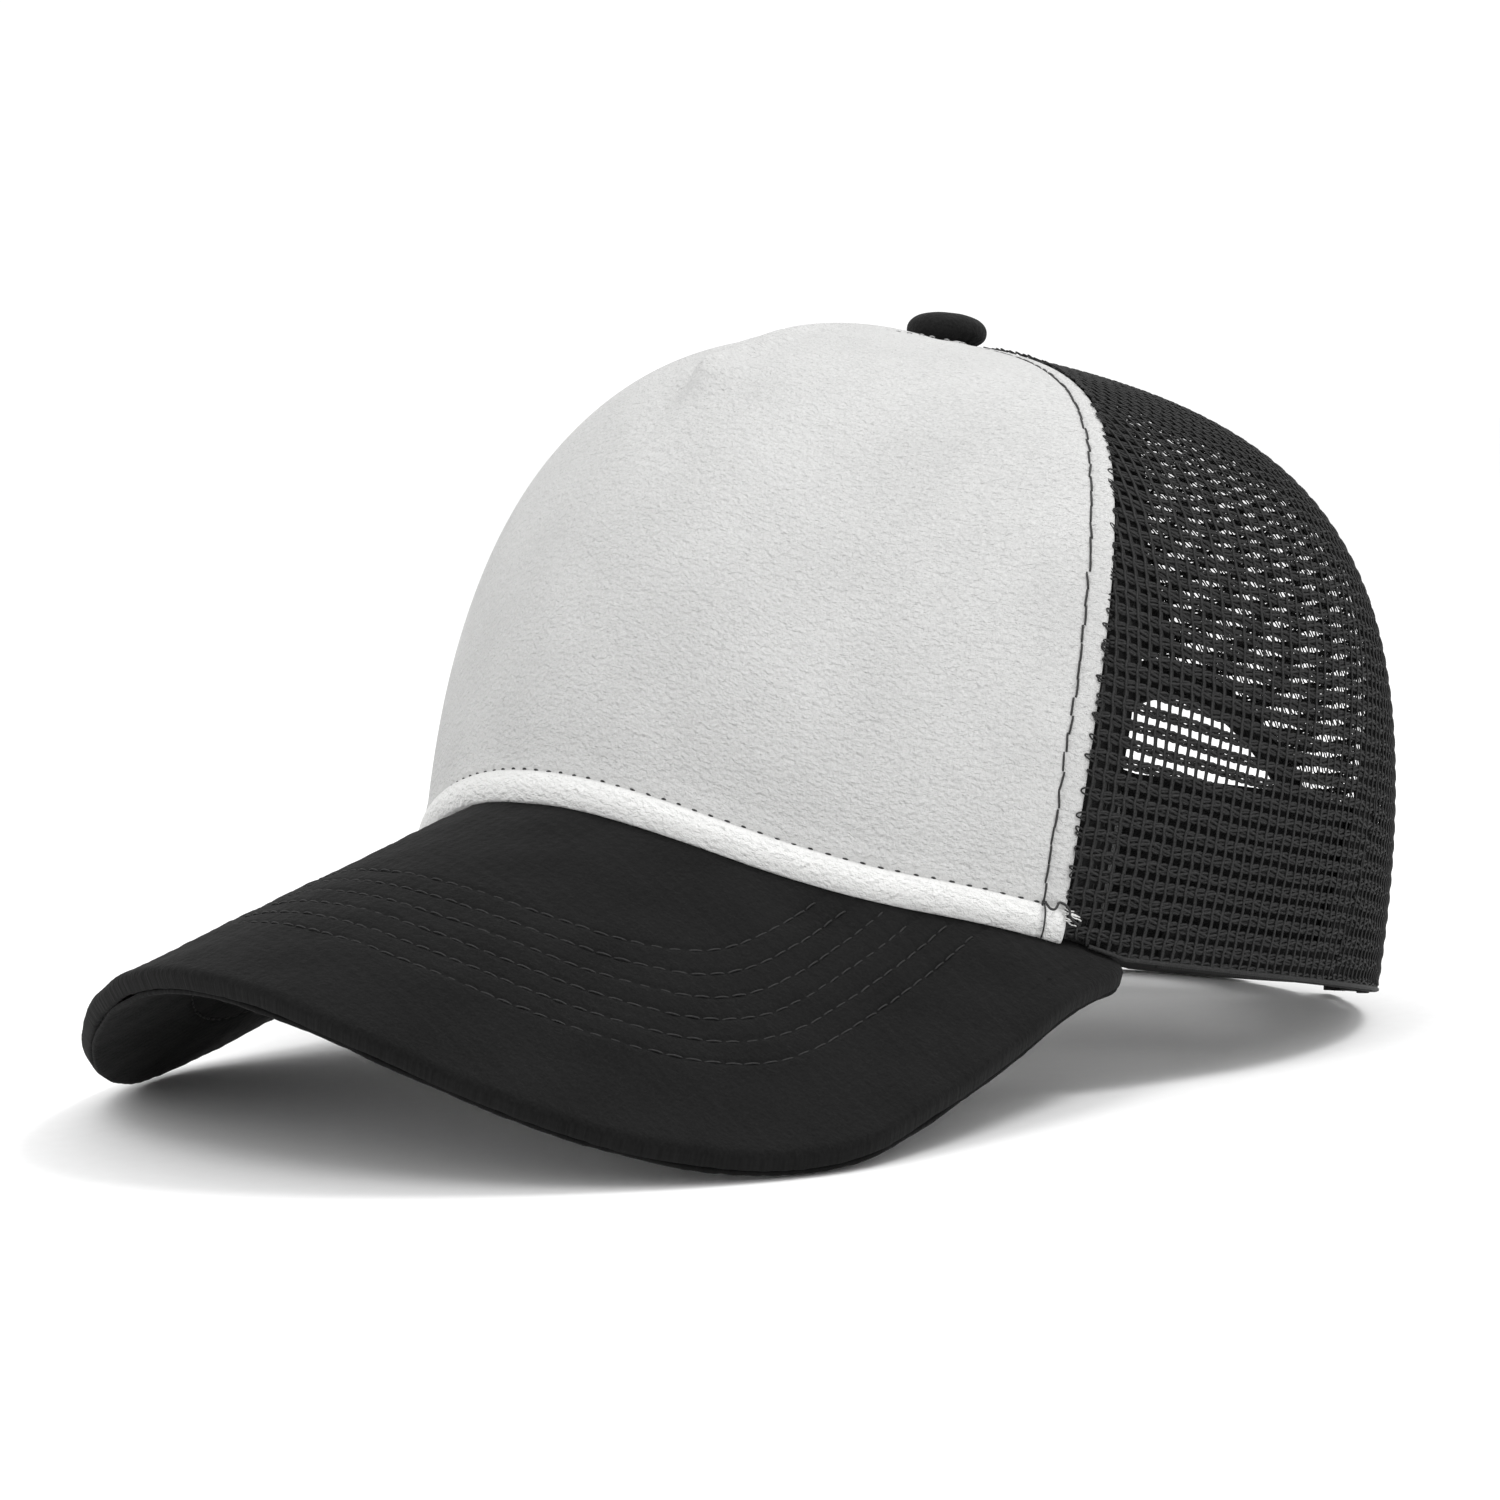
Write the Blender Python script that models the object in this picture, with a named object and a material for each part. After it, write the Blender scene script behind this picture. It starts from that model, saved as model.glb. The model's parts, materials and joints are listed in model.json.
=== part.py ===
"""Trucker mesh cap: five panels, curved brim, covered button and plastic snap strap.

Metres, +Z up. The brim points to -Y and the wearer's left is +X. Every piece is worked out in
the cap's own frame, where the rim of the mesh lies in the plane Z = 0, and then hangs on one
empty that pitches the cap back until it rests on both sides of its brim and on the back of
its rim.

A place on the crown is given by PHI, the angle around it from the front towards +X, by T,
from 0 at the rim to 1 at the top, and by DEPTH below the crown's outer surface.
"""
import math

import bmesh
import bpy
import numpy as np
from mathutils import Matrix, Vector

# ---- crown: half sizes of the rim, height, and the meridians' curves -------------------------
RIM_FRONT = 0.1007
RIM_BACK = 0.0806
RIM_SIDE = 0.0877
RIM_FRONT_POWER = 1.8
RIM_BACK_POWER = 2.0
CROWN_HEIGHT = 0.1125
TOP_Y = -0.0075
# each of these four is (front, side, back)
LEAN_DEG = (1.2, -10.2, 8.5)
RIM_PULL = (0.1141, 0.0794, 0.0396)
TOP_PULL = (0.0418, 0.0848, 0.0304)
TOP_SLOPE = (-0.093, -0.136, -0.088)
CORNER_TOP_PULL = -0.0263
CORNER_RIM_PULL = 0.0122
REAR_TOP_PULL = 0.020
REAR_RIM_PULL = 0.024
TOP_HOLE = 0.0027
TOP_T = 0.97
BACKING_TOP_RADIUS = 0.012
TAPE_TOP_RADIUS = 0.026
EDGE_T = 0.0018
FRONT_RISE = 0.30

# ---- panels: where the seams run, and how thick the layers are --------------------------------
FRONT_SEAM_DEG = (61.3, 5.1, 7.0)
SIDE_SEAM_DEG = (100.0, 18.0, 0.0)
SEAM_GAP = 0.0004
GAP = 0.0005
SUEDE = 0.0013
BUCKRAM = 0.0010
MESH = 0.0008
TAPE = 0.0006
HEM_STRIP = 0.0058
HEM_BULGE = 0.0009
SEAM_ALLOWANCE = 0.0075
FRONT_TAPE = (0.0065, 0.0064)
PLAIN_TAPE = 0.0060
RIM_TAPE = 0.0075
TAPE_LOW_T = 0.040
DART_LOW_T = 0.66
DART_TAPE = 0.0050

# ---- sweatband --------------------------------------------------------------------------------
BAND_HEIGHT = 0.032
BAND_THICK = 0.0009
PAD_THICK = 0.0013
PAD_HALF_DEG = 66.0
PAD_MARGIN = 0.004
BAND_DEPTH = 0.0052
BAND_SIDE_DEPTH = 0.0030
BAND_SIDE_DEG = (66.0, 74.0, 122.0, 130.0)
BAND_LOW = 0.0012

# ---- rear arch and its binding ----------------------------------------------------------------
ARCH_HALF_DEG = 28.0
ARCH_HEIGHT = 0.055
ARCH_BAND_DEG = 4.6
ARCH_BAND_PROUD = 0.0003
ARCH_BAND_WIDTH = 0.0068
ARCH_STEPS = 9
ARCH_TAPE_WIDEN = 1.3

# ---- brim: an arched sheet that slopes down towards -Y ---------------------------------------
BRIM_ROOT_Z = 0.0172
BRIM_SLOPE_DEG = 26.4
BRIM_FALL = 0.0527
BRIM_ARCH = 0.1260
BRIM_LENGTH = 0.0733
BRIM_HALF_WIDTH = 0.1020
BRIM_WIDEST = 0.0156
BRIM_FRONT_POWER = 1.9
BRIM_BACK_POWER = 1.9
BRIM_CORNER_DEG = 67.5
BRIM_SKIN = 0.0009
BRIM_BOARD = 0.0020
BRIM_BOARD_INSET = 0.0022
BRIM_LAYER_GAP = 0.0003
BRIM_TUCK = 0.0030
BRIM_COVER_SHARE = 0.985
BRIM_BOARD_SHARE = 0.93
BRIM_FRONT_SHARE = 0.62
CORNER_FALL = 0.0082
CORNER_FALL_FROM = 0.0262
CORNER_FALL_OVER = 0.0270

# ---- button -----------------------------------------------------------------------------------
BUTTON_RADIUS = 0.0075
BUTTON_HEIGHT = 0.0056
BUTTON_CLOTH = 0.0007
SHELL_THICK = 0.0005
RIVET_RADIUS = 0.0016
RIVET_HEAD = 0.0034
WASHER_RADIUS = 0.0070
WASHER_THICK = 0.0006
WASHER_DROP = 0.0032
RIVET_FLARE = 0.0008
BUTTON_LIFT = 0.0004

# ---- plastic strap ----------------------------------------------------------------------------
STRAP_LOW = 0.0015
STRAP_HIGH = 0.0195
STRAP_THICK = 0.0012
STRAP_GAP = 0.0004
STRAP_DEPTH = 0.0016
TAIL_SPAN = 0.16
TIP_ANGLES = np.radians([20.0, 42.0, 62.0, 78.0])
STRAP_ROOT = 0.0385
STRAP_TIP = 0.0225
STRAP_TAIL = 0.0100
TAIL_GAP = 0.0024
PEG_PITCH = 0.0085
PEG_RADIUS = 0.0018
PEG_HEIGHT = 0.0019
HOLE_RADIUS = 0.0027
PEGS_PAST_CENTRE = 2
PEGS = 7

# ---- label ------------------------------------------------------------------------------------
LABEL_ANGLE_DEG = 138.0
LABEL_WIDTH = 0.018
LABEL_HEIGHT = (0.006, 0.026)
LABEL_THICK = 0.0004
LABEL_T = 0.05

RIGHT, LEFT = -1, 1


# ---- the crown's surface ----------------------------------------------------------------------
def rim(phi):
    """The rim's outline in plan: a superellipse, longer in front than behind."""
    sine, cosine = np.sin(phi), np.cos(phi)
    power = np.where(cosine > 0, RIM_FRONT_POWER, RIM_BACK_POWER)
    reach = np.where(cosine > 0, RIM_FRONT, RIM_BACK)
    x = RIM_SIDE * np.sign(sine) * np.abs(sine) ** (2 / power)
    y = -reach * np.sign(cosine) * np.abs(cosine) ** (2 / power)
    return x, y


def mixed(phi, front_side_back):
    """Front, side and back values, blended around the crown."""
    front, side, back = front_side_back
    cosine = np.cos(phi)
    ahead = np.clip(cosine, 0, 1) ** 2
    behind = np.clip(-cosine, 0, 1) ** 2
    return ahead * front + behind * back + (1 - ahead - behind) * side


def crown(phi, t):
    """A point of the crown's outer surface: a Bezier meridian from the rim to the top."""
    x, y = rim(phi)
    dy = y - TOP_Y
    reach = np.hypot(x, dy)
    corner = np.where(np.cos(phi) > 0, np.sin(2 * phi) ** 2, 0)
    rear = np.clip(-np.cos(phi), 0, 1) ** 6
    lean = np.radians(mixed(phi, LEAN_DEG))
    pull = mixed(phi, RIM_PULL) + corner * CORNER_RIM_PULL + rear * REAR_RIM_PULL
    top_pull = mixed(phi, TOP_PULL) + corner * CORNER_TOP_PULL + rear * REAR_TOP_PULL
    top_slope = mixed(phi, TOP_SLOPE)
    b0 = (1 - t) ** 3
    b1 = 3 * t * (1 - t) ** 2
    b2 = 3 * t * t * (1 - t)
    b3 = t**3
    out = b0 * reach + b1 * (reach - pull * np.sin(lean)) + b2 * top_pull
    up = b1 * pull * np.cos(lean) + b2 * (CROWN_HEIGHT + top_pull * top_slope) + b3 * CROWN_HEIGHT
    return np.stack([out * x / reach, TOP_Y + out * dy / reach, up], -1)


def skin(phi, t, depth=0.0):
    """A point of the crown, DEPTH metres below its outer surface."""
    phi, t, depth = np.broadcast_arrays(np.asarray(phi, float), t, depth)
    step = 1e-4
    around = crown(phi + step, t) - crown(phi - step, t)
    upward = crown(phi, t + step) - crown(phi, t - step)
    normal = np.cross(around, upward)
    normal /= np.linalg.norm(normal, axis=-1, keepdims=True)
    return crown(phi, t) - normal * depth[..., None]


def t_at(phi, height):
    """The T at which a meridian reaches a height above the rim."""
    low, high = np.zeros_like(phi), np.full_like(phi, 0.7)
    for _ in range(30):
        middle = (low + high) / 2
        below = crown(phi, middle)[..., 2] < height
        low, high = np.where(below, middle, low), np.where(below, high, middle)
    return (low + high) / 2


def t_within(phi, radius):
    """The T at which a meridian comes within a radius of the upright through the top."""
    low, high = np.full_like(phi, 0.2), np.ones_like(phi)
    for _ in range(30):
        middle = (low + high) / 2
        place = crown(phi, middle)
        outside = np.hypot(place[..., 0], place[..., 1] - TOP_Y) > radius
        low, high = np.where(outside, middle, low), np.where(outside, high, middle)
    return (low + high) / 2


def angle_of(distance, phi, t):
    """The angle around the crown that a distance along its surface spans at a place."""
    step = 1e-3
    chord = np.linalg.norm(crown(phi + step, t) - crown(phi - step, t), axis=-1)
    return distance * 2 * step / chord


# ---- the brim's surface -----------------------------------------------------------------------
def arch_fall(x):
    """How far the brim's arch has fallen at a distance X from its middle."""
    return -BRIM_FALL / 2 * (1 - np.cos(math.pi * x / BRIM_ARCH))


def corner_fall(v):
    """How much further the brim's rear corners bend down, V along its slope."""
    return -CORNER_FALL * np.clip((-v - CORNER_FALL_FROM) / CORNER_FALL_OVER, 0, 9) ** 2


ARCH_X = np.linspace(0, BRIM_ARCH, 600)
ARCH_U = np.append(0, np.cumsum(np.hypot(np.diff(ARCH_X), np.diff(arch_fall(ARCH_X)))))


def brim(u, v, sink=0.0):
    """A point of the brim: U around its arch, V down its slope, SINK below its top."""
    slope = math.radians(BRIM_SLOPE_DEG)
    x = np.sign(u) * np.interp(np.abs(u), ARCH_U, ARCH_X)
    turn = np.arctan(BRIM_FALL / 2 * math.pi / BRIM_ARCH * np.sin(math.pi * x / BRIM_ARCH))
    h = arch_fall(x) + corner_fall(v) - sink * np.cos(turn)
    y = -RIM_FRONT - v * math.cos(slope) - h * math.sin(slope)
    z = BRIM_ROOT_Z - v * math.sin(slope) + h * math.cos(slope)
    return np.stack(np.broadcast_arrays(x - sink * np.sin(turn), y, z), -1)


def above_brim(points):
    """How high points are above the brim's top surface."""
    slope = math.radians(BRIM_SLOPE_DEG)
    dy, dz = points[..., 1] + RIM_FRONT, points[..., 2] - BRIM_ROOT_Z
    v = -dy * math.cos(slope) - dz * math.sin(slope)
    fall = arch_fall(points[..., 0]) + corner_fall(v)
    return -dy * math.sin(slope) + dz * math.cos(slope) - fall


def on_brim(points):
    """The U and V of points on the brim."""
    slope = math.radians(BRIM_SLOPE_DEG)
    dy, dz = points[..., 1] + RIM_FRONT, points[..., 2] - BRIM_ROOT_Z
    u = np.sign(points[..., 0]) * np.interp(np.abs(points[..., 0]), ARCH_X, ARCH_U)
    return u, -dy * math.cos(slope) - dz * math.sin(slope)


def hem_t(phi, depth=0.0):
    """The T at which the crown meets the brim; 0 where it has no brim under it."""
    phi = np.asarray(phi, float)
    low, high = np.full_like(phi, -0.02), np.full_like(phi, 0.45)
    for _ in range(30):
        middle = (low + high) / 2
        under = above_brim(skin(phi, middle, depth)) < 0
        low, high = np.where(under, middle, low), np.where(under, high, middle)
    return np.maximum((low + high) / 2, 0)


# ---- building solids --------------------------------------------------------------------------
def material(name, colour, roughness, metallic=0.0):
    made = bpy.data.materials.new(name)
    made.use_nodes = True
    shader = made.node_tree.nodes["Principled BSDF"]
    shader.inputs["Base Color"].default_value = (*colour, 1)
    shader.inputs["Roughness"].default_value = roughness
    shader.inputs["Metallic"].default_value = metallic
    made.diffuse_color = (*colour, 1)
    return made


def node(name, mesh, look, origin=(0, 0, 0)):
    """One named part, hung on the cap's empty, with its origin where it is wanted."""
    mesh.transform(Matrix.Translation([-c for c in origin]))
    made = bpy.data.objects.new(name, mesh)
    made.location = origin
    made.parent = bpy.data.objects["cap"]
    made.data.materials.append(look)
    bpy.context.scene.collection.objects.link(made)
    return made


def shell(outer, inner, wrap=False):
    """A closed solid between two grids of points, rows by columns."""
    rows, columns = outer.shape[:2]
    bm = bmesh.new()
    grids = [[[bm.verts.new(p) for p in row] for row in grid] for grid in (outer, inner)]
    spans = columns if wrap else columns - 1
    for side, grid in enumerate(grids):
        for i in range(rows - 1):
            for j in range(spans):
                k = (j + 1) % columns
                quad = [grid[i][j], grid[i][k], grid[i + 1][k], grid[i + 1][j]]
                bm.faces.new(quad[::-1] if side else quad)
    for i in (0, rows - 1):
        for j in range(spans):
            k = (j + 1) % columns
            bm.faces.new([grids[0][i][j], grids[0][i][k], grids[1][i][k], grids[1][i][j]])
    if not wrap:
        for j in (0, columns - 1):
            for i in range(rows - 1):
                bm.faces.new([grids[0][i][j], grids[0][i + 1][j], grids[1][i + 1][j], grids[1][i][j]])
    bmesh.ops.recalc_face_normals(bm, faces=bm.faces)
    mesh = bpy.data.meshes.new("shell")
    bm.to_mesh(mesh)
    bm.free()
    return mesh


def turned(profile, centre, segments=28):
    """A closed ring or plug: (radius, height) points turned around the upright through CENTRE."""
    bm = bmesh.new()
    around = [2 * math.pi * k / segments for k in range(segments)]
    loops = []
    for radius, height in profile:
        if radius == 0:
            loops.append([bm.verts.new((centre[0], centre[1], centre[2] + height))])
            continue
        loops.append(
            [
                bm.verts.new(
                    (
                        centre[0] + radius * math.cos(a),
                        centre[1] + radius * math.sin(a),
                        centre[2] + height,
                    )
                )
                for a in around
            ]
        )
    closed = profile[0][0] != 0
    pairs = list(zip(loops, loops[1:])) + ([(loops[-1], loops[0])] if closed else [])
    for low, high in pairs:
        for k in range(segments):
            n = (k + 1) % segments
            corners = [low[k % len(low)], low[n % len(low)], high[n % len(high)], high[k % len(high)]]
            bm.faces.new(list(dict.fromkeys(corners)))
    bmesh.ops.recalc_face_normals(bm, faces=bm.faces)
    mesh = bpy.data.meshes.new("turned")
    bm.to_mesh(mesh)
    bm.free()
    return mesh


# ---- panels -----------------------------------------------------------------------------------
def front_seam(t, side, back_by=0.0):
    """The angle of the seam between the front and a side panel, moved BACK_BY metres rearward."""
    a, b, c = FRONT_SEAM_DEG
    phi = np.radians(a + b * t + c * t * t)
    return side * (phi + angle_of(back_by, phi, t))


def side_seam(t, side, back_by=0.0):
    a, b, c = SIDE_SEAM_DEG
    phi = np.radians(a + b * t + c * t * t)
    return side * (phi + angle_of(back_by, phi, t))


def back_centre(t, side, back_by=0.0):
    phi = np.full_like(t, math.pi)
    return side * (phi + angle_of(back_by, phi - 1e-3, t))


def patch(first, last, low, top_radius, rows, columns):
    """PHI and T over a panel between two seams, from its lower edge to near the top."""
    s = np.linspace(0, 1, columns + 1)[None, :]
    w = np.atleast_1d(rows)[:, None]
    t = np.broadcast_to(w * TOP_T, (w.shape[0], s.shape[1]))
    for _ in range(5):
        phi = first(t) * (1 - s) + last(t) * s
        base = low(phi)
        t = base + (t_within(phi, top_radius) - base) * w
    return phi, t


def edge(depth, lift=0.0):
    """Lower edges that clear the brim for a layer whose inner side is DEPTH below the surface."""
    return lambda phi: np.maximum(hem_t(phi), hem_t(phi, depth)) + EDGE_T + lift


def layer(phi, t, depth, thick):
    """A panel's solid, from DEPTH to DEPTH + THICK below the crown's outer surface."""
    return shell(skin(phi, t, depth), skin(phi, t, np.asarray(depth) + thick))


def make_front_panel(look):
    """The suede front, with the rolled strip below its stitch line standing a little proud."""
    half = SEAM_GAP / 2
    strip = HEM_STRIP / FRONT_RISE
    rows = np.concatenate([np.array([0, 0.25, 0.5, 0.75, 1.0]) * strip, np.linspace(strip, 1, 14)[1:]])
    phi, t = patch(
        lambda t: front_seam(t, RIGHT, -half),
        lambda t: front_seam(t, LEFT, -half),
        edge(SUEDE),
        TOP_HOLE,
        rows,
        26,
    )
    bulge = np.clip(1 - np.abs(rows / strip - 0.5) * 2, 0, 1) ** 0.6 * HEM_BULGE
    return node("front_panel", layer(phi, t, -bulge[:, None], SUEDE + bulge[:, None]), look)


def make_front_backing(look):
    depth = SUEDE + GAP
    phi, t = patch(
        lambda t: front_seam(t, RIGHT, -SEAM_ALLOWANCE),
        lambda t: front_seam(t, LEFT, -SEAM_ALLOWANCE),
        edge(depth + BUCKRAM),
        BACKING_TOP_RADIUS,
        np.linspace(0, 1, 14),
        24,
    )
    return node("front_backing", layer(phi, t, depth, BUCKRAM), look)


def make_dart_tape(look):
    """The tape inside the short dart that runs forward from the button."""
    depth = SUEDE + GAP + BUCKRAM + GAP
    high = t_within(np.zeros(1), BACKING_TOP_RADIUS)[0]
    t = np.linspace(DART_LOW_T, high, 9)[:, None]
    side = np.array([[-1.0, 0.0, 1.0]])
    phi = side * angle_of(DART_TAPE, np.zeros_like(t), t)
    return node("front_dart_tape", layer(phi, t + 0 * side, depth, TAPE), look)


def make_side_panel(side, name, look):
    half = SEAM_GAP / 2
    phi, t = patch(
        lambda t: front_seam(t, side, half),
        lambda t: side_seam(t, side, -half),
        edge(MESH),
        TOP_HOLE,
        np.linspace(0, 1, 15),
        10,
    )
    return node(name, layer(phi, t, 0.0, MESH), look)


def arch(a, widen):
    """PHI and T on the rear arch; WIDEN is 0 on its opening and 1 on the band's outer edge."""
    phi = math.pi - np.radians(ARCH_HALF_DEG + widen * ARCH_BAND_DEG) * np.cos(a)
    height = (ARCH_HEIGHT + widen * ARCH_BAND_WIDTH) * np.sin(a)
    return phi, t_at(phi, height)


def make_back_panel(side, name, look):
    """A rear panel: its lower edge runs along the rim, then up over the arch to the centre seam."""
    half = SEAM_GAP / 2
    gap_widen = 1 + SEAM_GAP / ARCH_BAND_WIDTH
    foot = arch(np.array([0.0]), gap_widen)[0][0]
    start = side_seam(np.array([0.0]), 1, half)[0]
    along = np.linspace(start, foot, 6)
    over = np.linspace(0, math.pi / 2, ARCH_STEPS + 1)[1:]
    arch_phi, arch_t = arch(over, gap_widen)
    low_phi = np.concatenate([along, arch_phi])
    low_t = np.concatenate([np.full_like(along, EDGE_T), arch_t])
    low_phi[-1] -= angle_of(half, math.pi - 1e-3, low_t[-1])
    s = np.linspace(0, 1, low_phi.size)
    w = np.linspace(0, 1, 13)[:, None]
    high_phi = side_seam(np.full(1, TOP_T), 1, half)[0]
    high_t = t_within(np.linspace(high_phi, math.pi - 1e-3, low_phi.size), TOP_HOLE)
    t = low_t * (1 - w) + high_t * w
    first, last = side_seam(t, 1, half), back_centre(t, 1, -half)
    straight = first * (1 - s) + last * s
    share = (low_phi - first[0]) / (last[0] - first[0])
    bent = first + (last - first) * (share * (1 - w) + s * w)
    phi = np.where(s == 0, straight, np.where(s == 1, straight, bent))
    return node(name, layer(side * phi, t, 0.0, MESH), look)


def make_arch_binding(look):
    """The folded band sewn round the edge of the rear arch."""
    a = np.linspace(0, math.pi, 2 * ARCH_STEPS + 1)[None, :]
    widen = np.array([[0.0], [0.5], [1.0]])
    phi, t = arch(a, widen)
    t = np.maximum(t, EDGE_T)
    return node("arch_binding", layer(phi, t, -ARCH_BAND_PROUD, MESH + 2 * ARCH_BAND_PROUD), look)


# ---- tapes inside the seams and the rim -------------------------------------------------------
def make_seam_tape(name, seam, side, ahead, behind, depth, low, look):
    """A strip behind a seam, AHEAD metres towards the front of it and BEHIND metres past it."""
    phi, t = patch(
        lambda t: seam(t, side, -ahead),
        lambda t: seam(t, side, behind),
        edge(depth + TAPE, low),
        TAPE_TOP_RADIUS,
        np.linspace(0, 1, 13),
        2,
    )
    return node(name, layer(phi, t, depth, TAPE), look)


def make_rim_tape(side, name, look):
    """The hem tape inside the rim, from the brim's corner back to the strap."""
    first = math.radians(BRIM_CORNER_DEG + 2)
    last = math.pi - math.radians(ARCH_HALF_DEG + ARCH_BAND_DEG) - TAIL_SPAN
    phi = np.linspace(first, last, 12)[None, :]
    height = np.array([0.0, 0.5, 1.0])[:, None] * RIM_TAPE
    t = t_at(phi + 0 * height, height + 0 * phi)
    return node(name, layer(side * phi, np.maximum(t, EDGE_T), MESH + GAP, TAPE), look)


# ---- sweatband --------------------------------------------------------------------------------
def band_grid(half_angle, low, high, columns):
    """PHI and T of a band that follows the crown's lower edge, between two heights above it."""
    phi = np.linspace(-half_angle, half_angle, columns)[None, :]
    base = crown(phi, hem_t(phi))[..., 2]
    height = base + np.linspace(low, high, 3)[:, None]
    return phi + 0 * height, t_at(phi + 0 * height, height)


def band_depth(phi):
    """The sweatband lies closer to the net at the sides than over its pad and the strap's ends."""
    share = np.interp(np.degrees(np.abs(phi)), BAND_SIDE_DEG, (0, 1, 1, 0))
    return BAND_DEPTH + (BAND_SIDE_DEPTH - BAND_DEPTH) * share


def make_sweatband(look):
    half_angle = math.pi - math.radians(ARCH_HALF_DEG + ARCH_BAND_DEG)
    phi, t = band_grid(half_angle, BAND_LOW, BAND_HEIGHT, 43)
    return node("sweatband", layer(phi, t, band_depth(phi), BAND_THICK), look)


def make_sweatband_pad(look):
    low, high = BAND_LOW + PAD_MARGIN, BAND_HEIGHT - PAD_MARGIN
    phi, t = band_grid(math.radians(PAD_HALF_DEG), low, high, 21)
    return node("sweatband_pad", layer(phi, t, BAND_DEPTH - GAP - PAD_THICK, PAD_THICK), look)


def make_label(look):
    """The blank fabric label sewn to the inside of the sweatband."""
    middle = math.radians(LABEL_ANGLE_DEG)
    half = angle_of(LABEL_WIDTH / 2, middle, LABEL_T)
    phi = np.linspace(middle - half, middle + half, 4)[None, :]
    height = np.array(LABEL_HEIGHT)[:, None]
    t = t_at(phi + 0 * height, height + 0 * phi)
    return node("care_label", layer(phi + 0 * t, t, BAND_DEPTH + BAND_THICK + GAP, LABEL_THICK), look)


# ---- brim -------------------------------------------------------------------------------------
def brim_outline(q):
    """U and V of the brim's outer edge; Q runs 0 at the front centre to 1 at the corner."""
    corner_phi = np.array([math.radians(BRIM_CORNER_DEG)])
    corner_u, corner_v = on_brim(crown(corner_phi, hem_t(corner_phi)))
    ahead = np.clip(q / BRIM_FRONT_SHARE, 0, 1) * math.pi / 2
    back = np.clip((q - BRIM_FRONT_SHARE) / (1 - BRIM_FRONT_SHARE), 0, 1) * math.pi / 2
    front_u = BRIM_HALF_WIDTH * np.sin(ahead) ** (2 / BRIM_FRONT_POWER)
    front_v = BRIM_WIDEST + (BRIM_LENGTH - BRIM_WIDEST) * np.cos(ahead) ** (2 / BRIM_FRONT_POWER)
    back_u = corner_u + (BRIM_HALF_WIDTH - corner_u) * np.cos(back) ** (2 / BRIM_BACK_POWER)
    back_v = BRIM_WIDEST + (corner_v - BRIM_WIDEST) * np.sin(back) ** (2 / BRIM_BACK_POWER)
    behind = q > BRIM_FRONT_SHARE
    return np.where(behind, back_u, front_u), np.where(behind, back_v, front_v)


def brim_columns(last, count):
    """Root and edge (U, V) of the brim's columns, from its right corner to its left one."""
    q = np.linspace(-last, last, count)
    side = np.sign(q)
    phi = q * math.radians(BRIM_CORNER_DEG)
    root = on_brim(skin(phi, hem_t(phi, BRIM_TUCK), BRIM_TUCK))
    edge_u, edge_v = brim_outline(np.abs(q))
    return np.stack(root), np.stack([side * edge_u, edge_v])


def brim_grid(columns, stops, sinks):
    """Brim points: each row is a share of the way from root to edge, at its own depth."""
    root, edge = columns
    rows = [brim(*(root + (edge - root) * share), sink) for share, sink in zip(stops, sinks)]
    return np.stack(rows)


def make_brim_cover_top(look):
    """The upper suede, turned down round the brim's edge."""
    columns = brim_columns(BRIM_COVER_SHARE, 35)
    length = np.linalg.norm(columns[1] - columns[0], axis=0)
    inset = 1 - np.minimum(BRIM_SKIN / length, 0.5)
    lip = BRIM_SKIN + 2 * BRIM_LAYER_GAP + BRIM_BOARD
    stops = [*np.linspace(0, 1, 7), 1.0]
    outer = brim_grid(columns, stops, [0.0] * 7 + [lip])
    inner = brim_grid(columns, [s * inset for s in stops], [BRIM_SKIN] * 7 + [lip])
    return node("brim_cover_top", shell(outer, inner), look)


def make_brim_board(look):
    columns = brim_columns(BRIM_BOARD_SHARE, 33)
    length = np.linalg.norm(columns[1] - columns[0], axis=0)
    stops = [s * (1 - np.minimum(BRIM_BOARD_INSET / length, 0.6)) for s in np.linspace(0, 1, 6)]
    top = BRIM_SKIN + BRIM_LAYER_GAP
    outer = brim_grid(columns, stops, [top] * 6)
    inner = brim_grid(columns, stops, [top + BRIM_BOARD] * 6)
    return node("brim_board", shell(outer, inner), look)


def make_brim_cover_bottom(look):
    columns = brim_columns(BRIM_COVER_SHARE, 35)
    stops = np.linspace(0, 1, 7)
    top = BRIM_SKIN + 3 * BRIM_LAYER_GAP + BRIM_BOARD
    outer = brim_grid(columns, stops, [top] * 7)
    inner = brim_grid(columns, stops, [top + BRIM_SKIN] * 7)
    return node("brim_cover_bottom", shell(outer, inner), look)


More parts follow.
